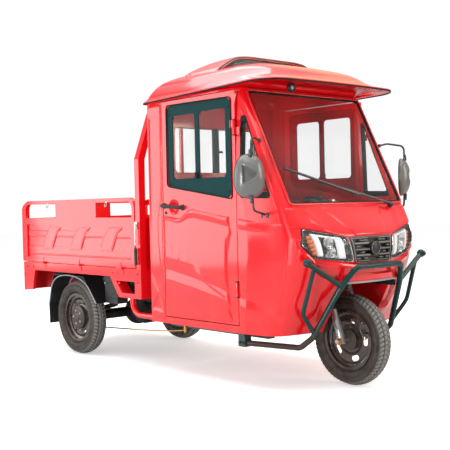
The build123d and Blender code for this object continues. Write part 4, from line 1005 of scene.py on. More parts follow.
outside = between(roof_levels, np.concatenate([np.linspace(0, 2, 9), np.linspace(2, 9, 43)[1:]]))
inner = between(roof_under, np.concatenate([np.linspace(0, 6, 19), np.linspace(6, 10, 13)[1:]]))
x, y, z = roof_rings(outside)
flute = 4.0 * np.exp(-((z - 1742) / 9) ** 2) * (np.abs(y) > 420)
flute = flute * smooth((x - 985) / 60) * smooth((1330 - x) / 110)
z_rise = smooth((x - 1330) / 240) * 26 * smooth((1990 - x) / 400)
band = np.exp(-((z - 1674 - z_rise) / 5.0) ** 2) * smooth((1640 - x) / 160) * (np.abs(y) > 480)
y = y - np.sign(y) * (flute + 2.6 * band)
crown = np.linspace(1, 0, 8)[1:, None]
crown_x, crown_y = 1425 + (x[-1:] - 1425) * crown, y[-1:] * crown
crown_z = 1840 + 7 * (1 - crown**2) + 0 * crown_x
x2, y2, z2 = roof_rings(inner)
ceiling_x, ceiling_y = 1405 + (x2[-1:] - 1405) * crown, y2[-1:] * crown
ceiling_z = 1806 + 2 * (1 - crown**2) + 0 * ceiling_x
rows_x = np.concatenate([ceiling_x[::-1], x2[::-1], x, crown_x])
rows_y = np.concatenate([ceiling_y[::-1], y2[::-1], y, crown_y])
rows_z = np.concatenate([ceiling_z[::-1], z2[::-1], z, crown_z])
roof_shape = spots(rows_x, rows_y, rows_z), grid_faces(*rows_x.shape, False, True)
make("roof_shell", [roof_shape], red_paint, "vehicle", 50, ("roof_cap",))
x, y, z = roof_rings(np.array([(1642.5, 1673.5, 927, 2046, 561.5, 30, 150, 30)], float))
seal_rubber = Paint("black_rubber_bead", (0.018, 0.020, 0.021), (50.0, 0.2, 0.4))
roof_bead = piped(spots(x[0], y[0], z[0]), 0.0046, 10, True)
make("roof_bead", [roof_bead], seal_rubber, "vehicle", 60)

# Air scoop: a raised pressing on the crown that opens forward, with a dark rolled rim and a woven
# wire screen in its mouth.
scoop_x, scoop_y = np.meshgrid(np.linspace(1186, 1496, 46), np.linspace(-442, 442, 89))
side_x = (1186, 1196, 1214, 1262, 1350, 1420, 1484, 1496)
side_line = np.interp(scoop_x, side_x, (1770, 1800, 1832, 1859, 1886, 1892, 1893.5, 1892))
front_y = (0, 150, 200, 275, 322, 372, 430, 444)
front_line = np.interp(np.abs(scoop_y), front_y, (1896, 1895, 1892.5, 1879, 1860, 1832, 1796, 1778))
soft = 10.0
scoop_z = -soft * np.log(np.exp(-side_line / soft) + np.exp(-(front_line + 2.5) / soft))
scoop_z = np.minimum(scoop_z + 1.5, 1892.6)
under = spots(scoop_x + 0.5, scoop_y * 0.985, np.maximum(scoop_z - 14, 1764))
scoop = skin(spots(scoop_x, scoop_y, scoop_z), under)
make("scoop_shell", [scoop], red_paint, "vehicle", 50, ("roof_scoop",))
rim_paint = Paint("dark_scoop_rim", (0.035, 0.008, 0.009), (60.0, 0.15, 0.28), coat=0.4)
edge_y = np.linspace(-436, 436, 90)
edge_z = np.interp(edge_y, scoop_y[:, -1], scoop_z[:, -1]) - 7
bar = spots(1494 - 3.0 * (np.abs(edge_y) > 425), edge_y, np.minimum(edge_z, 1885.5))
make("scoop_rim", [piped(bar, 0.0058, 14)], rim_paint, "vehicle", 60)
wire = Paint("teal_wire_screen", (0.060, 0.26, 0.28), (90.0, 0.2, 0.3), metallic=0.4)
weave, right_half = 1.5 * np.array((1, -1, 1, -1, 1, -1)), slice(44, None)
wires = []
for y in np.arange(-406, 407, 8.0):
    top_z = float(np.interp(y, scoop_y[:, -1], scoop_z[:, -1])) - 12
    wires.append(piped(spots(1468 + weave, y, np.linspace(1772, top_z, 6)), 0.0014, 6))
for z in np.arange(1806, 1882, 7.0):
    reach = float(np.interp(-z - 12, -scoop_z[right_half, -1], scoop_y[right_half, -1]))
    reach = reach if z < 1878 else 180.0
    wires.append(piped(spots(1468, np.linspace(-reach, reach, 24), z), 0.0014, 6))
make("scoop_screen", wires, wire, "vehicle", 50)

# Visor lamp: a round black work lamp on a short stalk under the visor, on the right, with a small
# frosted lens in the middle of its face.
lamp_body = [
    (0, -30), (12, -29), (21, -22), (24.5, -10), (25, 4), (23.5, 8), (21.5, 8), (20, 4), (0, 3),
]
lamp = knob(lamp_body, 1856, -205, 1662, 0, 40)
stalk = piped(spots(np.linspace(1842, 1838, 5), -205, np.linspace(1668, 1692, 5)), 0.007, 12)
make("visor_lamp", [lamp, stalk], black_paint, "vehicle", 40)
lamp_glass = Paint("frosted_lamp_glass", (0.45, 0.47, 0.50), (200.0, 0.2, 0.08), coat=0.8)
pearl = knob([(0, 7.2), (6, 6.8), (10, 5.5), (11.5, 3), (0, 2)], 1856, -205, 1662, 0, 32)
make("visor_lamp_glass", [pearl], lamp_glass, "vehicle", 40)

# Headlamps: a black bowl under a clear moulded cover, a chromed edge, three bars of white light
# guide round a pair of reflector lenses, and a strip of faceted amber at the outer side.
chrome = Paint("chromed_plastic", (0.78, 0.79, 0.80), (60.0, 0.15, 0.06), metallic=1.0)
lamp_black = Paint("lamp_bowl_black", (0.006, 0.012, 0.013), (60.0, 0.15, 0.2), coat=0.3)
guide_white = Paint("white_light_guide", (0.85, 0.86, 0.88), (40.0, 0.1, 0.16), coat=0.8)
guide_white.set("Emission Color", (1.0, 1.0, 1.0))
guide_white.set("Emission Strength", 0.25)
amber = Paint("amber_facets", (0.80, 0.17, 0.012), 0.20, coat=0.9)
cells = {"Vector": amber.place(), "Scale": 60.0}
amber.bump(amber.node("ShaderNodeTexVoronoi", {"feature": "F1"}, cells, "Distance"), 0.5, 0.004)
cover = Paint("clear_lamp_cover", (0.30, 0.32, 0.33), 0.04, coat=1.0, coat_roughness=0.02)
cover.set("Alpha", 0.08)


def outline_steps(outline, count, corner=16.0):
    """Points evenly spaced along a closed outline. Each corner is first cut round within a reach of
    it, which is at most 0.45 of either side."""
    outline = np.asarray(outline, float)
    before, after = np.roll(outline, 1, 0) - outline, np.roll(outline, -1, 0) - outline
    reach = lambda run: np.minimum(corner / np.linalg.norm(run, axis=1, keepdims=True), 0.45)
    line = np.stack([outline + before * reach(before), outline, outline + after * reach(after)], 1)
    line = rounded(line.reshape(-1, 2), 3, True)
    closed = np.concatenate([line, line[:1]])
    length = np.concatenate([[0], np.cumsum(np.hypot(*np.diff(closed, axis=0).T))])
    where = np.linspace(0, length[-1], count, endpoint=False)
    return np.stack([np.interp(where, length, closed[:, k]) for k in (0, 1)], 1)


def on_nose(y, z, proud=0.0):
    """Stations on the nose at distances from the middle and heights, pushed forward."""
    y, z = np.abs(np.asarray(y, float)), np.asarray(z, float)
    nose, turn_x, _, meet_x, meet_y = cab_plan(z)[3:]
    past = np.clip((y - meet_y) / (cab_half - meet_y), 0, 1)
    flat = nose - (nose - meet_x) * np.minimum(y / meet_y, 1) ** 2
    return flat - (meet_x - turn_x) * past**1.6 + proud


def facing(outline, side, rings, middle):
    """A closed shape seen from the front: rings of one outline, each drawn in to a middle point by a
    share and set at a depth from the nose's surface, which the depth follows less and less."""
    line, surface = np.asarray(outline), []
    for share, depth in rings:
        y, z = (middle + (line - middle) * share).T
        surface.append(spots(on_nose(y, z, depth), side * y, z))
    surface = np.array(surface)
    return surface, grid_faces(len(rings), len(line), False, True)


def box_outline(y0, y1, z0, z1):
    """The four corners of an upright box."""
    return [(y0, z0), (y1, z0), (y1, z1), (y0, z1)]


lamp_middle = np.array((332.0, 793.0))
lamp_line = outline_steps([(456, 886), (180, 834), (148, 694), (392, 726), (472, 800)], 180, 26.0)
lamp_shells = (
    # name, paint, slot, crease angle, rings of (share of the outline, depth from the nose's surface)
    ("lamp_bowl_", lamp_black, "black_paint", 40, (
        (0.0, -33.5), (0.5, -33.5), (0.985, -33.0), (0.985, 0.4), (0.978, 2.4), (0.962, 2.6),
        (0.950, 1.0), (0.935, -16), (0.90, -26), (0.5, -28), (0.0, -28),
    )),
    ("lamp_edge_", chrome, "lamp_lens", 40, (
        (0.957, 1.0), (0.960, 3.4), (0.950, 4.0), (0.940, 3.0), (0.938, 0.5), (0.957, 1.0),
    )),
    ("lamp_cover_", cover, "lamp_lens", 50, (
        (0.0, 6.5), (0.4, 6.2), (0.75, 4.8), (0.90, 3.0), (0.945, 1.4), (0.945, -0.6), (0.90, 1.0),
        (0.4, 3.8), (0.0, 4.2),
    )),
)
guide_bars = (
    ((397, 858), (371, 853), (338, 737), (360, 738)),
    ((258, 838), (226, 832), (200, 718), (236, 722)),
    ((371, 853), (256, 834), (258, 824), (366, 841)),
)
guide_rings = ((0.0, -27), (1.0, -27), (1.0, -9), (0.92, -5), (0.6, -3.5), (0.0, -3))
facet_rings = ((0.0, -27), (1.0, -27), (1.0, -12), (0.5, -7), (0.0, -6))
low_slat_rings = ((0.0, -27), (1.0, -27), (1.0, -8), (0.0, -7))
side_slat_rings = ((0.0, -27), (1.0, -27), (1.0, -14), (0.0, -13))
for name, side in both_sides:
    for shell, paint, slot, crease, rings in lamp_shells:
        replaced = ("headlamps",) if (shell, name) == ("lamp_bowl_", "right") else ()
        surface = facing(lamp_line, side, rings, lamp_middle)
        make(shell + name, [surface], paint, "vehicle", crease, replaced)
    guides = []
    for outline in guide_bars:
        line = outline_steps(outline, 64, 9.0)
        guides.append(facing(line, side, guide_rings, line.mean(0)))
    make("lamp_guides_" + name, guides, guide_white, "vehicle", 45)
    facets = []
    for step in range(5):
        y0, z0 = 428 - step * 8.5, 848 - step * 21
        line = outline_steps(box_outline(y0 - 22, y0, z0 - 19, z0), 32, 5.0)
        facets.append(facing(line, side, facet_rings, line.mean(0)))
    make("lamp_amber_" + name, facets, amber, "vehicle", 30)
    reflectors, pearls = [], []
    for y, z, size in ((303, 806, 30), (288, 757, 27)):
        face = float(on_nose(y, z)) - 26
        dish = [
            (0, 0), (size * 0.45, 1.0), (size * 0.80, 8.0), (size, 17.0), (size * 1.07, 18.0),
            (size * 1.07, 0), (0, -3),
        ]
        reflectors.append(knob(dish, face, side * y, z, 0, 48))
        ball = [
            (0, 15.5), (size * 0.24, 14.2), (size * 0.42, 10.5), (size * 0.5, 5.5), (size * 0.5, 0), (0, 0),
        ]
        pearls.append(knob(ball, face, side * y, z, 0, 36))
    for z in (724, 730, 736):
        slat = outline_steps([(330, z + 10), (250, z), (250, z + 3), (330, z + 13)], 24, 1.0)
        reflectors.append(facing(slat, side, low_slat_rings, slat.mean(0)))
    for y in (206, 196, 186, 176):
        slat = outline_steps(box_outline(y - 3.0, y, 742 - (206 - y) * 0.3, 826), 24, 1.0)
        reflectors.append(facing(slat, side, side_slat_rings, slat.mean(0)))
    make("lamp_reflectors_" + name, reflectors, chrome, "vehicle", 35)
    make("lamp_lenses_" + name, pearls, lamp_glass, "vehicle", 40)

# Grille: a black moulded panel with a grey border, five rows of bars with short blades between
# them, and a plain round blank in the middle with a thin light ring.
grille_black = Paint("black_grille_plastic", (0.012, 0.012, 0.013), (80.0, 0.2, 0.32))
grille_black.bump(grille_black.noise(500.0, 1.0), 0.08, 0.0006)
grille_grey = Paint("grey_grille_border", (0.16, 0.155, 0.155), (60.0, 0.15, 0.26), coat=0.3)
dress(grille_black, "grille")
grille_rows = ((700, 706, 128), (727, 737, 138), (759, 767, 144), (791, 801, 152), (820, 827, 160))
section = np.linspace(0, 2 * np.pi, 10, endpoint=False)[None, :]
blades = []
for low, high, reach in grille_rows:
    for start, end in ((-1.0, -0.28), (0.28, 1.0)):
        y, z = np.linspace(start, end, 24)[:, None] * reach, (low + high) / 2
        size_y, size_z = 4.5 * np.cos(section), (high - low) / 2 * np.sin(section)
        bar = spots(on_nose(y, z, 1.0) + size_y, y, z + size_z)
        bar = capped(bar, bar[0].mean(0), bar[-1].mean(0))
        blades.append((bar, grid_faces(len(bar), 10, False, True)))
for side in (-1, 1):
    for y, z in ((118, 716), (88, 748), (122, 780), (92, 812), (64, 716), (60, 812)):
        centre = spots(float(on_nose(y, z)) - 2, side * y, z)
        blades.append(pillow(centre, (0.008, 0.014, 0.003), 0.4, 8, 16))
make("grille_blades", blades, grille_grey, "vehicle", 40)
border = outline_steps([(-171, 833), (171, 833), (143, 693), (-143, 693)], 160, 10.0)
border_rings = ((0.995, -4), (0.995, 3.4), (0.975, 4.4), (0.955, 3.2), (0.950, -4), (0.995, -4))
surface = facing(border, 1, border_rings, np.array((0.0, 763.0)))
make("grille_border", [surface], grille_grey, "vehicle", 40)
blank = [
    (0, 3.5), (20, 3), (26.2, 1.2), (26.5, -2), (28.5, -2), (30, 2.5), (33.5, 2.5), (36, -1),
    (36, -12), (0, -12),
]
make("grille_blank", [knob(blank, 2262, 0, 768, 0, 72)], grille_black, "vehicle", 30)
ring = knob(round_section(33.5, 2.6, 1.6), 2262, 0, 768, 0, 72, 1, True)
make("grille_blank_ring", [ring], grille_grey, "vehicle", 50)

# Windows: clear glass in black rubber, with a red lip round the windscreen and a two-pane sliding
# window at the back, whose middle bar carries a small latch. The doors' windows sit in dark
# blue-green plastic frames, whose inner faces are red.
seal_dirt = seal_rubber.noise(24.0, 5.0).ramp(0.4, 0.8)
seal_rubber.set("Base Color", seal_rubber.mix(seal_dirt * 0.4, (0.005, 0.008, 0.009), (0.02, 0.02, 0.02)))
seal_rubber.set("Specular IOR Level", 0.2)
dress(seal_rubber, "window_seals")
glass = Paint("clear_window_glass", (0.20, 0.26, 0.26), 0.02, coat=1.0, coat_roughness=0.01)
glass.set("Alpha", 0.06)
glass.set("Roughness", glass.noise(5.0, 2.0) * 0.03 + 0.01)
dress(glass, "windscreen", "cab_windows", "door_glass_right", "door_glass_left")
trim_plastic = Paint("dark_window_frame_plastic", (0.002, 0.034, 0.037), (40.0, 0.12, 0.36))
trim_plastic.set("Specular IOR Level", 0.08)
low_trim = 1 - trim_plastic.part(trim_plastic.place(), "Z").ramp(1.036, 1.044)
inner_face = 1 - abs(trim_plastic.part(trim_plastic.place(), "Y")).ramp(0.5225, 0.5245)
frame_tone = trim_plastic.mix(low_trim, (0.0008, 0.032, 0.034), (0.045, 0.045, 0.047))
trim_plastic.set("Base Color", trim_plastic.mix(inner_face, frame_tone, (0.50, 0.004, 0.008)))
dress(trim_plastic, "door_trim_right", "door_trim_left")
screen_edge = outline_steps([(-468, 6), (468, 6), (468, 713), (-468, 713)], 200, 44.0)
up_share = screen_edge[:, 1] / 719.6
lip_bead = spots(2083 - 323 * up_share, screen_edge[:, 0], 1004.5 + 643 * up_share)
make("windscreen_lip", [piped(lip_bead, 0.0074, 12, True)], red_paint, "vehicle", 60)

rear_frame = outline_steps([(-352, 1218), (352, 1218), (352, 1517), (-352, 1517)], 120, 44.0)
sash = ((950, -9), (968, -9), (970, -6), (970, 10), (968, 13), (950, 13))
rear_bars = []
for x, radius in ((943, 0.011), (962, 0.009)):
    rear_bars.append(piped(spots(x, rear_frame[:, 0], rear_frame[:, 1]), radius, 12, True))
for y in (-14, 10):
    rear_bars.append(plate([(a, y + b) for a, b in sash], 1222, 1513, 2))
rear_bars.append(pillow(spots(974, 0, 1362), (0.010, 0.014, 0.028), 0.4))
rear_bars.append(pillow(spots(982, 16, 1362), (0.005, 0.026, 0.007), 0.4))
make("rear_window_frame", rear_bars, seal_rubber, "vehicle", 40, bevel=0.0008)
bead = outline_steps([(1133, 1134), (1136, 1613), (1709, 1607), (1709, 1049)], 150, 46.0)
for name, side in both_sides:
    fittings = [pillow(spots(1410, side * 541, 1190), (0.013, 0.005, 0.020), 0.4)]
    fittings.append(pillow(spots(1410, side * 546, 1196), (0.005, 0.005, 0.010), 0.5))
    for x, z in ((1160, 1560), (1684, 1556), (1160, 1150), (1684, 1090)):
        fittings.append(knob([(0, 0), (5, 0), (4, 2), (0, 2.6)], x, side * 538, z, 1, 16, side))
    fittings.append(piped(spots(bead[:, 0], side * 537.5, bead[:, 1]), 0.0036, 8, True))
    body = f"door_{name}_body"
    make("door_window_fittings_" + name, fittings, seal_rubber, body, 40)

# Door handle: a round pressed bowl in the door skin behind the pull, and a plastic lock button
# below it. The pull's two feet are domed plastic, held by screws from inside.
dish = [
    (0, -12.5), (20, -11.8), (32, -8.5), (39, -3.5), (42, 1.2), (44.5, 2.2), (47, 0.4), (45, -3), (30, -15),
    (0, -15.5),
]
lock = [(0, 6), (7, 5.6), (9, 4), (9.5, -2), (0, -2)]
foot = [(0, 11), (12, 10.5), (16.5, 7), (18, 1), (18, -1), (0, -1)]
for name, side in both_sides:
    body = f"door_{name}_body"
    bowl = knob(dish, 1190, side * 535.6, 1012, 1, 64, side)
    make("handle_bowl_" + name, [bowl], red_paint, body, 50)
    ends = [knob(lock, 1112, side * 535, 978, 1, 32, side)]
    for x, z in ((1098, 1020), (1272, 1008)):
        ends.append(knob(foot, x, side * 535.6, z, 1, 32, side))
    make("handle_feet_" + name, ends, trim_plastic, body, 40)

# Mirrors: an egg-shaped grey plastic shell with a three-cornered hollow in its front, a black rim
# and a silvered glass at the back, on bent black rods with ball ends and a clamp on the cab's side.
shell_grey = Paint("grey_mirror_shell", (0.135, 0.14, 0.135), (60.0, 0.12, 0.26), coat=0.25)
shell_grey.bump(shell_grey.noise(600.0, 1.0), 0.05, 0.0005)
silvering = Paint("silvered_glass", (0.80, 0.82, 0.83), (8.0, 0.02, 0.01), metallic=1.0)
rod_black = Paint("black_rod_enamel", (0.016, 0.022, 0.024), (60.0, 0.15, 0.28), coat=0.3)
dress(rod_black, "mirror_arms", "handlebar")


def egg(share, turn):
    """Across and up from a mirror's middle: an oval of power 2.5, a little fuller at the bottom."""
    swell = lambda value: np.sign(value) * np.abs(value) ** 0.8
    across, up = 80 * swell(np.cos(turn)), 113 * swell(np.sin(turn))
    return share * across * (1 - up * 0.0007), share * up


def on_mirror(side, forward, across, up, angle=28.0):
    """Points of a mirror from millimetres forward, across and up, turned by degrees about the
    upright line through its middle, so that its glass faces the driver."""
    points = spots(1950 + forward, side * (650 - across), 1163 + up)
    middle = spots(1978, side * 650, 0)
    away = points - middle
    cos, sin = math.cos(math.radians(angle)), -side * math.sin(math.radians(angle))
    x, y = away[..., 0] * cos + away[..., 1] * sin, away[..., 1] * cos - away[..., 0] * sin
    return np.stack([x + middle[0], y + middle[1], points[..., 2]], -1)


def mirror_head(side):
    """A closed shell: rings of the egg from its front's middle out over the dome, whose depth is a
    power of one less the share squared, round the rim and back to the middle of its hollow back.
    The front's hollow is 26 mm deep inside a three-cornered outline, with a ramp of 15 mm, and two
    slanting seams are 1.6 mm deep."""
    turn = np.linspace(0, 2 * np.pi, 100, endpoint=False)[None, :]
    share = np.linspace(0, 0.999, 48)[:, None]
    across, up = egg(share, turn)
    dome = 12 + 47 * np.maximum(1 - share**2, 0) ** 0.62
    corner = ((-50, 62), (-12, 42), (34, 14), (22, -8), (-12, -30), (-48, -46))
    depth = inside_by(across, up, corner)
    hollow = 26 * smooth((depth + 1) / 15)
    seams = ((up + 74 - 0.10 * across) / 2.2, (up - 78 + 0.5 * across) / 2.2)
    seam_line = 1.6 * sum(np.exp(-(off**2)) for off in seams)
    forward = np.maximum(dome - hollow - seam_line * (share < 0.985), 6 + 0 * dome)
    back_share = np.array((1.0, 1.0, 0.985, 0.955, 0.945, 0.6, 0.0))[:, None]
    back_across, back_up = egg(back_share, turn)
    back_forward = np.array((9.0, 2.5, 0.4, 0.4, 3.0, 3.0, 3.0))[:, None] + 0 * turn
    across, up = np.concatenate([across, back_across]), np.concatenate([up, back_up])
    forward = np.concatenate([forward, back_forward])
    return on_mirror(side, forward, across, up), grid_faces(len(across), 100, False, True)


turn = np.linspace(0, 2 * np.pi, 96, endpoint=False)[None, :]
glass_across, glass_up = egg(np.array((0.0, 0.5, 0.94, 0.94, 0.5, 0.0))[:, None], turn)
sunk = np.array((1.2, 1.2, 1.6, 2.8, 3.2, 3.2))[:, None] + 0 * turn
rim_across, rim_up = (numbers[0] for numbers in egg(0.985, turn))
half_round = np.linspace(-np.pi / 2, np.pi / 2, 15)
collars = (
    # profile, station, Y, Z, sides
    (((0, -13), (11, -13), (12, -11), (12, 11), (11, 13), (0, 13)), 1962, 516, 958, 28),
    (((0, -15), (11, -15), (12, -13), (12, 13), (11, 15), (0, 15)), 1926, 514, 960, 28),
    (((0, -20), (10, -20), (11, -16), (8.5, 16), (0, 20)), 1978, 648, 1283, 24),
    (((0, -20), (8.5, -20), (11, 14), (10, 20), (0, 20)), 1978, 647, 1043, 24),
)
for name, side in both_sides:
    replaced = ("mirrors",) if side < 0 else ()
    shell = [mirror_head(side)]
    make("mirror_shell_" + name, shell, shell_grey, "vehicle", 60, replaced)
    face = on_mirror(side, sunk, glass_across, glass_up), grid_faces(6, 96, False, True)
    make("mirror_glass_" + name, [face], silvering, "vehicle", 40)
    clamps = [piped(on_mirror(side, 2.0, rim_across, rim_up), 0.0046, 10, True)]
    for x, y, z, size in ((1897, 506, 1356, 11.5), (1940, 506, 958, 10)):
        ball = np.stack([size * np.cos(half_round), size * np.sin(half_round)], 1)
        clamps.append(knob(ball, x, side * y, z, 1, 28))
    for profile, x, y, z, sides in collars:
        clamps.append(knob(profile, x, side * y, z, 2, sides))
    clamps.append(pillow(spots(1944, side * 512, 958), (0.028, 0.009, 0.008), 0.35))
    make("mirror_clamps_" + name, clamps, rod_black, "vehicle", 40)

# Wiper: a pressed steel arm in blue-black enamel, held by a domed nut, and a rubber blade of the
# same dark tone that is clipped under its bow.
wiper_paint = Paint("blue_black_wiper", (0.010, 0.016, 0.035), (70.0, 0.15, 0.24), coat=0.4)
dress(wiper_paint, "wiper")

# Bull bar: bent steel tube over the front wheel with a loop and a ball-ended arm at each side, in
# blue-green enamel on the loops that turns brown-black along the low rails, below about 0.3 m.
bar_paint = Paint(
    "bull_bar_enamel", (0.010, 0.070, 0.066), (40.0, 0.15, 0.22), coat=0.18, coat_roughness=0.03
)
bar_paint.set("Specular IOR Level", 0.22)
low_rail = 1 - bar_paint.part(bar_paint.place(), "Z").ramp(0.25, 0.40)
worn = bar_paint.noise(10.0, 6.0).ramp(0.45, 0.75) * 0.35
loop_tone = bar_paint.mix(worn, (0.001, 0.036, 0.034), (0.012, 0.014, 0.013))
bar_paint.set("Base Color", bar_paint.mix(low_rail, loop_tone, (0.045, 0.034, 0.026)))
dress(bar_paint, "bull_bar")
bolt = [(0, 0), (10, 0), (10, 6), (8, 8), (0, 8)]
domed_nut = [(0, 0), (14, 0), (14, 3), (8.5, 3.2), (8.5, 10), (0, 11)]
bar_fasteners = []
for side in (-1, 1):
    for x in (1606, 1634):
        bar_fasteners.append(knob(bolt, x, side * 410, 236, 1, 6, side))
    bar_fasteners.append(knob(domed_nut, 2226, side * 481, 711, 0, 24))
make("bull_bar_bolts", bar_fasteners, rod_black, "vehicle", 25)

# Wheel arch: a pale rubber edge on the rolled lip over the front wheel, and a ribbed black plastic
# liner inside the nose, flat over the wheel and turned down a little at its sides.
arch_y = np.linspace(-238, 238, 60)
arch_edge = piped(spots(on_nose(arch_y, 592, 22.0), arch_y, 589.5), 0.0058, 12)
make("arch_edge", [arch_edge], pale_trim_and_highlight, "vehicle", 50)
liner_turn = np.linspace(-1, 1, 41)[None, :]
liner_x = np.linspace(1797, 2232, 34)[:, None]
across = np.clip(liner_turn * 1.9, -1, 1)
drop = np.maximum(np.abs(liner_turn) * 1.9 - 1, 0) / 0.9
liner_y = 203.2 * np.sign(across) * np.abs(across) ** 0.9
ribs = 2.0 * (np.cos(liner_x / 14.0) > 0.3)
liner_z = 588 - 10 * np.abs(across) ** 8 - drop * 26 - ribs
liner = skin(spots(liner_x, liner_y * 0.99, liner_z - 2.4), spots(liner_x, liner_y, liner_z))
make("arch_liner", [liner], black_paint, "vehicle", 60)

# Cab inside: a moulded dark dashboard with two vents and a shelf, a bench box in the same plastic,
# and a bent handlebar with rubber grips, plated levers and a plain round dial in a black pod.
dash_plastic = Paint("grained_dark_plastic", (0.026, 0.027, 0.029), (50.0, 0.15, 0.5))
dash_plastic.bump(dash_plastic.noise(900.0, 2.0), 0.25, 0.0006)
dress(dash_plastic, "dashboard", "seat_base")
dash_parts = []
for y in (-360, 360):
    for z in (886, 900, 914, 928):
        dash_parts.append(pillow(spots(1934, y, z), (0.005, 0.062, 0.0035), 0.35, 8, 20))
    vent = outline_steps(box_outline(y - 72, y + 72, 876, 938), 60, 12.0)
    dash_parts.append(piped(spots(1933, vent[:, 0], vent[:, 1]), 0.0045, 10, True))
shelf = outline_steps(box_outline(-250, 250, 822, 862), 80, 14.0)
dash_parts.append(piped(spots(1934, shelf[:, 0], shelf[:, 1]), 0.006, 10, True))
cowl_y = np.linspace(-470, 470, 60)[None, :]
cowl_part = np.linspace(0, 1, 14)[:, None]
cowl_x = 1941 + 108 * cowl_part + 0 * cowl_y
cowl_z = 962 + 34 * cowl_part + 9 * np.sin(np.pi * cowl_part) * (1 - (np.abs(cowl_y) / 470) ** 6)
dash_parts.append(skin(spots(cowl_x, cowl_y, cowl_z), spots(cowl_x, cowl_y, cowl_z - 12)))
make("dashboard_trim", dash_parts, dash_plastic, "vehicle", 45)

bar_x = on_fork(985, 0.0)
lever_bends = np.array(((-28, 190, 1022), (6, 212, 1018), (-22, 262, 1014), (-66, 318, 1008))) + (bar_x, 0, 0)
part = np.linspace(0, 1, 61)[:, None]
grip_radius = 0.0150 + 0.0012 * np.sign(np.sin(part[:, 0] * 52)) + 0.004 * (part[:, 0] > 0.95)
grip_parts, lever_parts = [], []
for side in (-1, 1):
    start, end = np.array((bar_x - 118, 328, 1014.8)), np.array((bar_x - 60, 222, 1019.5))
    grip_parts.append(piped(placed(start + (end - start) * part, side), grip_radius, 20))
    lever = rounded(lever_bends, 3)
    width = np.interp(np.linspace(0, 1, len(lever)), (0, 0.2, 0.9, 1), (0.008, 0.006, 0.0045, 0.008))
    lever_parts.append(piped(placed(lever, side), width, 12))
    lever_parts.append(pillow(spots(bar_x - 30, side * 186, 1024), (0.015, 0.020, 0.014), 0.45))
make("handlebar_grips", grip_parts, rubber, "steering_body", 50)
make("handlebar_levers", lever_parts, bright_steel, "steering_body", 45)
dial_x = bar_x - 6
dial_rim = [(0, -10), (50, -10), (54, -4), (54, 12), (50, 14), (47, 11), (0, 10)]
pod = [pillow(spots(bar_x + 8, 0, 1018), (0.034, 0.080, 0.026), 0.45, 18, 36)]
pod.append(knob(dial_rim, dial_x, 0, 1042, 2, 64))
make("meter_pod", pod, dash_plastic, "steering_body", 45)
dial = Paint("pale_dial", (0.75, 0.76, 0.74), 0.2, coat=1.0)
ends = {0: dial.place(), 1: (float(at(dial_x)), 0.0, 1.0528)}
off = dial.node("ShaderNodeVectorMath", {"operation": "DISTANCE"}, ends, "Value")
ring_mask = off.ramp(0.036, 0.037) * (1 - off.ramp(0.040, 0.041))
dial.set("Base Color", dial.mix(ring_mask, (0.78, 0.79, 0.77), (0.02, 0.02, 0.02)))
face = knob([(0, 11.2), (46, 11.2), (46, 10.5), (0, 10.5)], dial_x, 0, 1042, 2, 64)
make("meter_dial", [face], dial, "steering_body", 40)

# Bench: foam cushions in black leathercloth, crowned and pulled in between their corners, with
# sewn channels across the seat and up the back and a welt round the edge.
leathercloth = Paint("black_leathercloth", (0.030, 0.029, 0.030), (40.0, 0.2, 0.36), coat=0.15)
cells = {"Vector": leathercloth.place(), "Scale": 420.0}
grain = leathercloth.node("ShaderNodeTexVoronoi", {"feature": "DISTANCE_TO_EDGE"}, cells, "Distance")
patches = leathercloth.noise(6.0, 4.0)
leathercloth.set("Base Color", leathercloth.mix(patches, (0.022, 0.021, 0.022), (0.048, 0.046, 0.046)))
leathercloth.bump(grain.ramp(0.0, 0.25), 0.35, 0.0008)
dress(leathercloth, "seat_cushions")


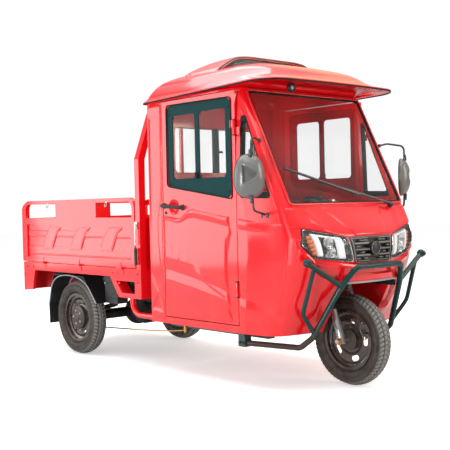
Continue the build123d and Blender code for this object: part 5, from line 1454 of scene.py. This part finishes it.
def cushion(name, centre, half, lean, channels, face, replaces):
    """A stuffed pad: a block with rounded edges is remeshed at 9 mm, blown up a little as cloth for
    20 frames with each point held within 9 mm, and subdivided. Channels at the given Ys are then
    pressed into the face that looks along an axis, 0 or 2: each sinks it by a bell curve 8 mm wide
    that fades at the pad's edges. The pad leans back about Y by an angle in radians."""
    block, faces = pillow((0, 0, 0), np.array(half), 0.22, 40, 80)
    item = solid(name, block.reshape(-1, 3), faces.tolist())
    cut = item.modifiers.new("even_mesh", "REMESH")
    cut.mode, cut.voxel_size = "VOXEL", 0.009
    ready = bpy.data.meshes.new_from_object(item.evaluated_get(bpy.context.evaluated_depsgraph_get()))
    item.modifiers.clear()
    item.data = ready
    count = len(ready.vertices)
    start = np.empty(count * 3)
    ready.vertices.foreach_get("co", start)
    start = start.reshape(-1, 3)
    moved = start.copy()
    stuffing = item.modifiers.new("stuffing", "CLOTH")
    stuffing.settings.use_pressure, stuffing.settings.uniform_pressure_force = True, 4.0
    stuffing.settings.effector_weights.gravity = 0.0
    stuffing.settings.quality = 4
    for number in range(1, 21):
        bpy.context.scene.frame_set(number)
    puffed = item.evaluated_get(bpy.context.evaluated_depsgraph_get())
    puffed.data.vertices.foreach_get("co", moved.reshape(-1))
    item.modifiers.clear()
    bpy.context.scene.frame_set(1)
    shift = moved - start
    shift -= shift.mean(0)
    far = np.linalg.norm(shift, axis=1, keepdims=True)
    shift *= np.minimum(1, 0.009 / np.maximum(far, 1e-9))
    body = start + shift
    other = 2 - face
    dip = sum(np.exp(-((body[:, 1] - spot) / 0.0075) ** 2) for spot in channels) * 0.010
    fade = smooth((half[other] * 0.93 - np.abs(body[:, other])) / 0.05)
    crown = (1 - (body[:, other] / half[other]) ** 2) * (1 - (body[:, 1] / half[1]) ** 2)
    stand = 0.004 * np.clip(crown, 0, 1) - dip * fade
    body[:, face] += np.where(body[:, face] > 0.3 * half[face], stand, 0)
    cos, sin = math.cos(lean), math.sin(lean)
    tilt = np.array(((cos, 0, sin), (0, 1, 0), (-sin, 0, cos)))
    body = body @ tilt.T + np.asarray(centre)
    ready.vertices.foreach_set("co", body.reshape(-1))
    ready.update()
    ready.shade_smooth()
    ready.materials.clear()
    ready.materials.append(leathercloth.material)
    finer = item.modifiers.new("finer", "SUBSURF")
    finer.levels = finer.render_levels = 1
    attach(item, "vehicle")
    if replaces:
        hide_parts("seat_cushions")


pads = (
    # name, centre, half sizes in metres, lean in degrees, Ys of the channels, face's axis, replaces
    ("seat_cushion", (1273, 0, 681.5), (0.190, 0.422, 0.034), 0, (-0.21, 0.0, 0.21), 2, True),
    ("seat_backrest", (1044, 0, 910), (0.028, 0.422, 0.192), -6, (-0.28, -0.14, 0.0, 0.14, 0.28), 0, False),
)
for name, centre, half, lean, channels, face, replaces in pads:
    cushion(name, spots(*centre), half, math.radians(lean), channels, face, replaces)
seat_edge = outline_steps([(1082, -424), (1464, -424), (1464, 424), (1082, 424)], 160, 50.0)
welts = [piped(spots(seat_edge[:, 0], seat_edge[:, 1], z), 0.0032, 8, True) for z in (708, 652)]
welt = Paint("grey_welt_cord", (0.10, 0.10, 0.105), (120.0, 0.2, 0.4))
make("seat_welts", welts, welt, "vehicle", 60)

# Tail lamps: moulded lenses in three fields, red, amber and clear, with fine upright ribs, in a
# black base on the lamp bar.
base_black = Paint("black_lamp_base", (0.02, 0.02, 0.02), (60.0, 0.2, 0.4))
dress(base_black, "tail_lamps")
fields = (
    # name, colour, outer and inner edge
    ("red", (0.55, 0.004, 0.006), 455, 402),
    ("amber", (0.80, 0.20, 0.01), 400, 384),
    ("clear", (0.75, 0.76, 0.76), 382, 362),
)
for field, colour, outer, inner_edge in fields:
    lens = Paint(field + "_tail_lens", colour, 0.12, coat=0.8)
    stripe = (lens.part(lens.place(), "Y") * 1500.0).wave() * 0.5 + 0.5
    lens.bump(stripe, 0.5, 0.0008)
    middle, half_width = (outer + inner_edge) / 2, (outer - inner_edge) / 2000
    panes = []
    for side in (-1, 1):
        panes.append(pillow(spots(-613.5, side * middle, 500), (0.0065, half_width, 0.0275), 0.28, 16, 32))
    make("tail_lens_" + field, panes, lens, "vehicle", 40)

# Brake rods: a thin steel rod with yellow plating runs from each rear drum forward under the floor
# to the pedal's cross shaft, with a flat lever at each end.
rod_line = ((60, 330, 176), (300, 330, 188), (640, 330, 206), (900, 330, 226), (1010, 330, 240))
rods = []
for side in (-1, 1):
    rods.append(piped(placed(rod_line, side), 0.0042, 10))
    rods.append(pillow(spots(58, side * 330, 184), (0.007, 0.006, 0.022), 0.45))
    rods.append(pillow(spots(1012, side * 330, 246), (0.008, 0.007, 0.024), 0.45))
make("brake_rods", rods, brass, "vehicle", 40)

# Hinge caps: small rubber caps pushed over the ends of the door hinges' pins, which keep the grease
# in and the water out.
cap = [(0, -3), (9.5, -3), (10.5, 0), (9.5, 3), (0, 3)]
caps = []
for side in (-1, 1):
    for z in (1478, 1395, 597, 513):
        caps.append(knob(cap, 1740.5, side * 545, z, 2, 28))
make("hinge_caps", caps, rubber, "vehicle", 40)
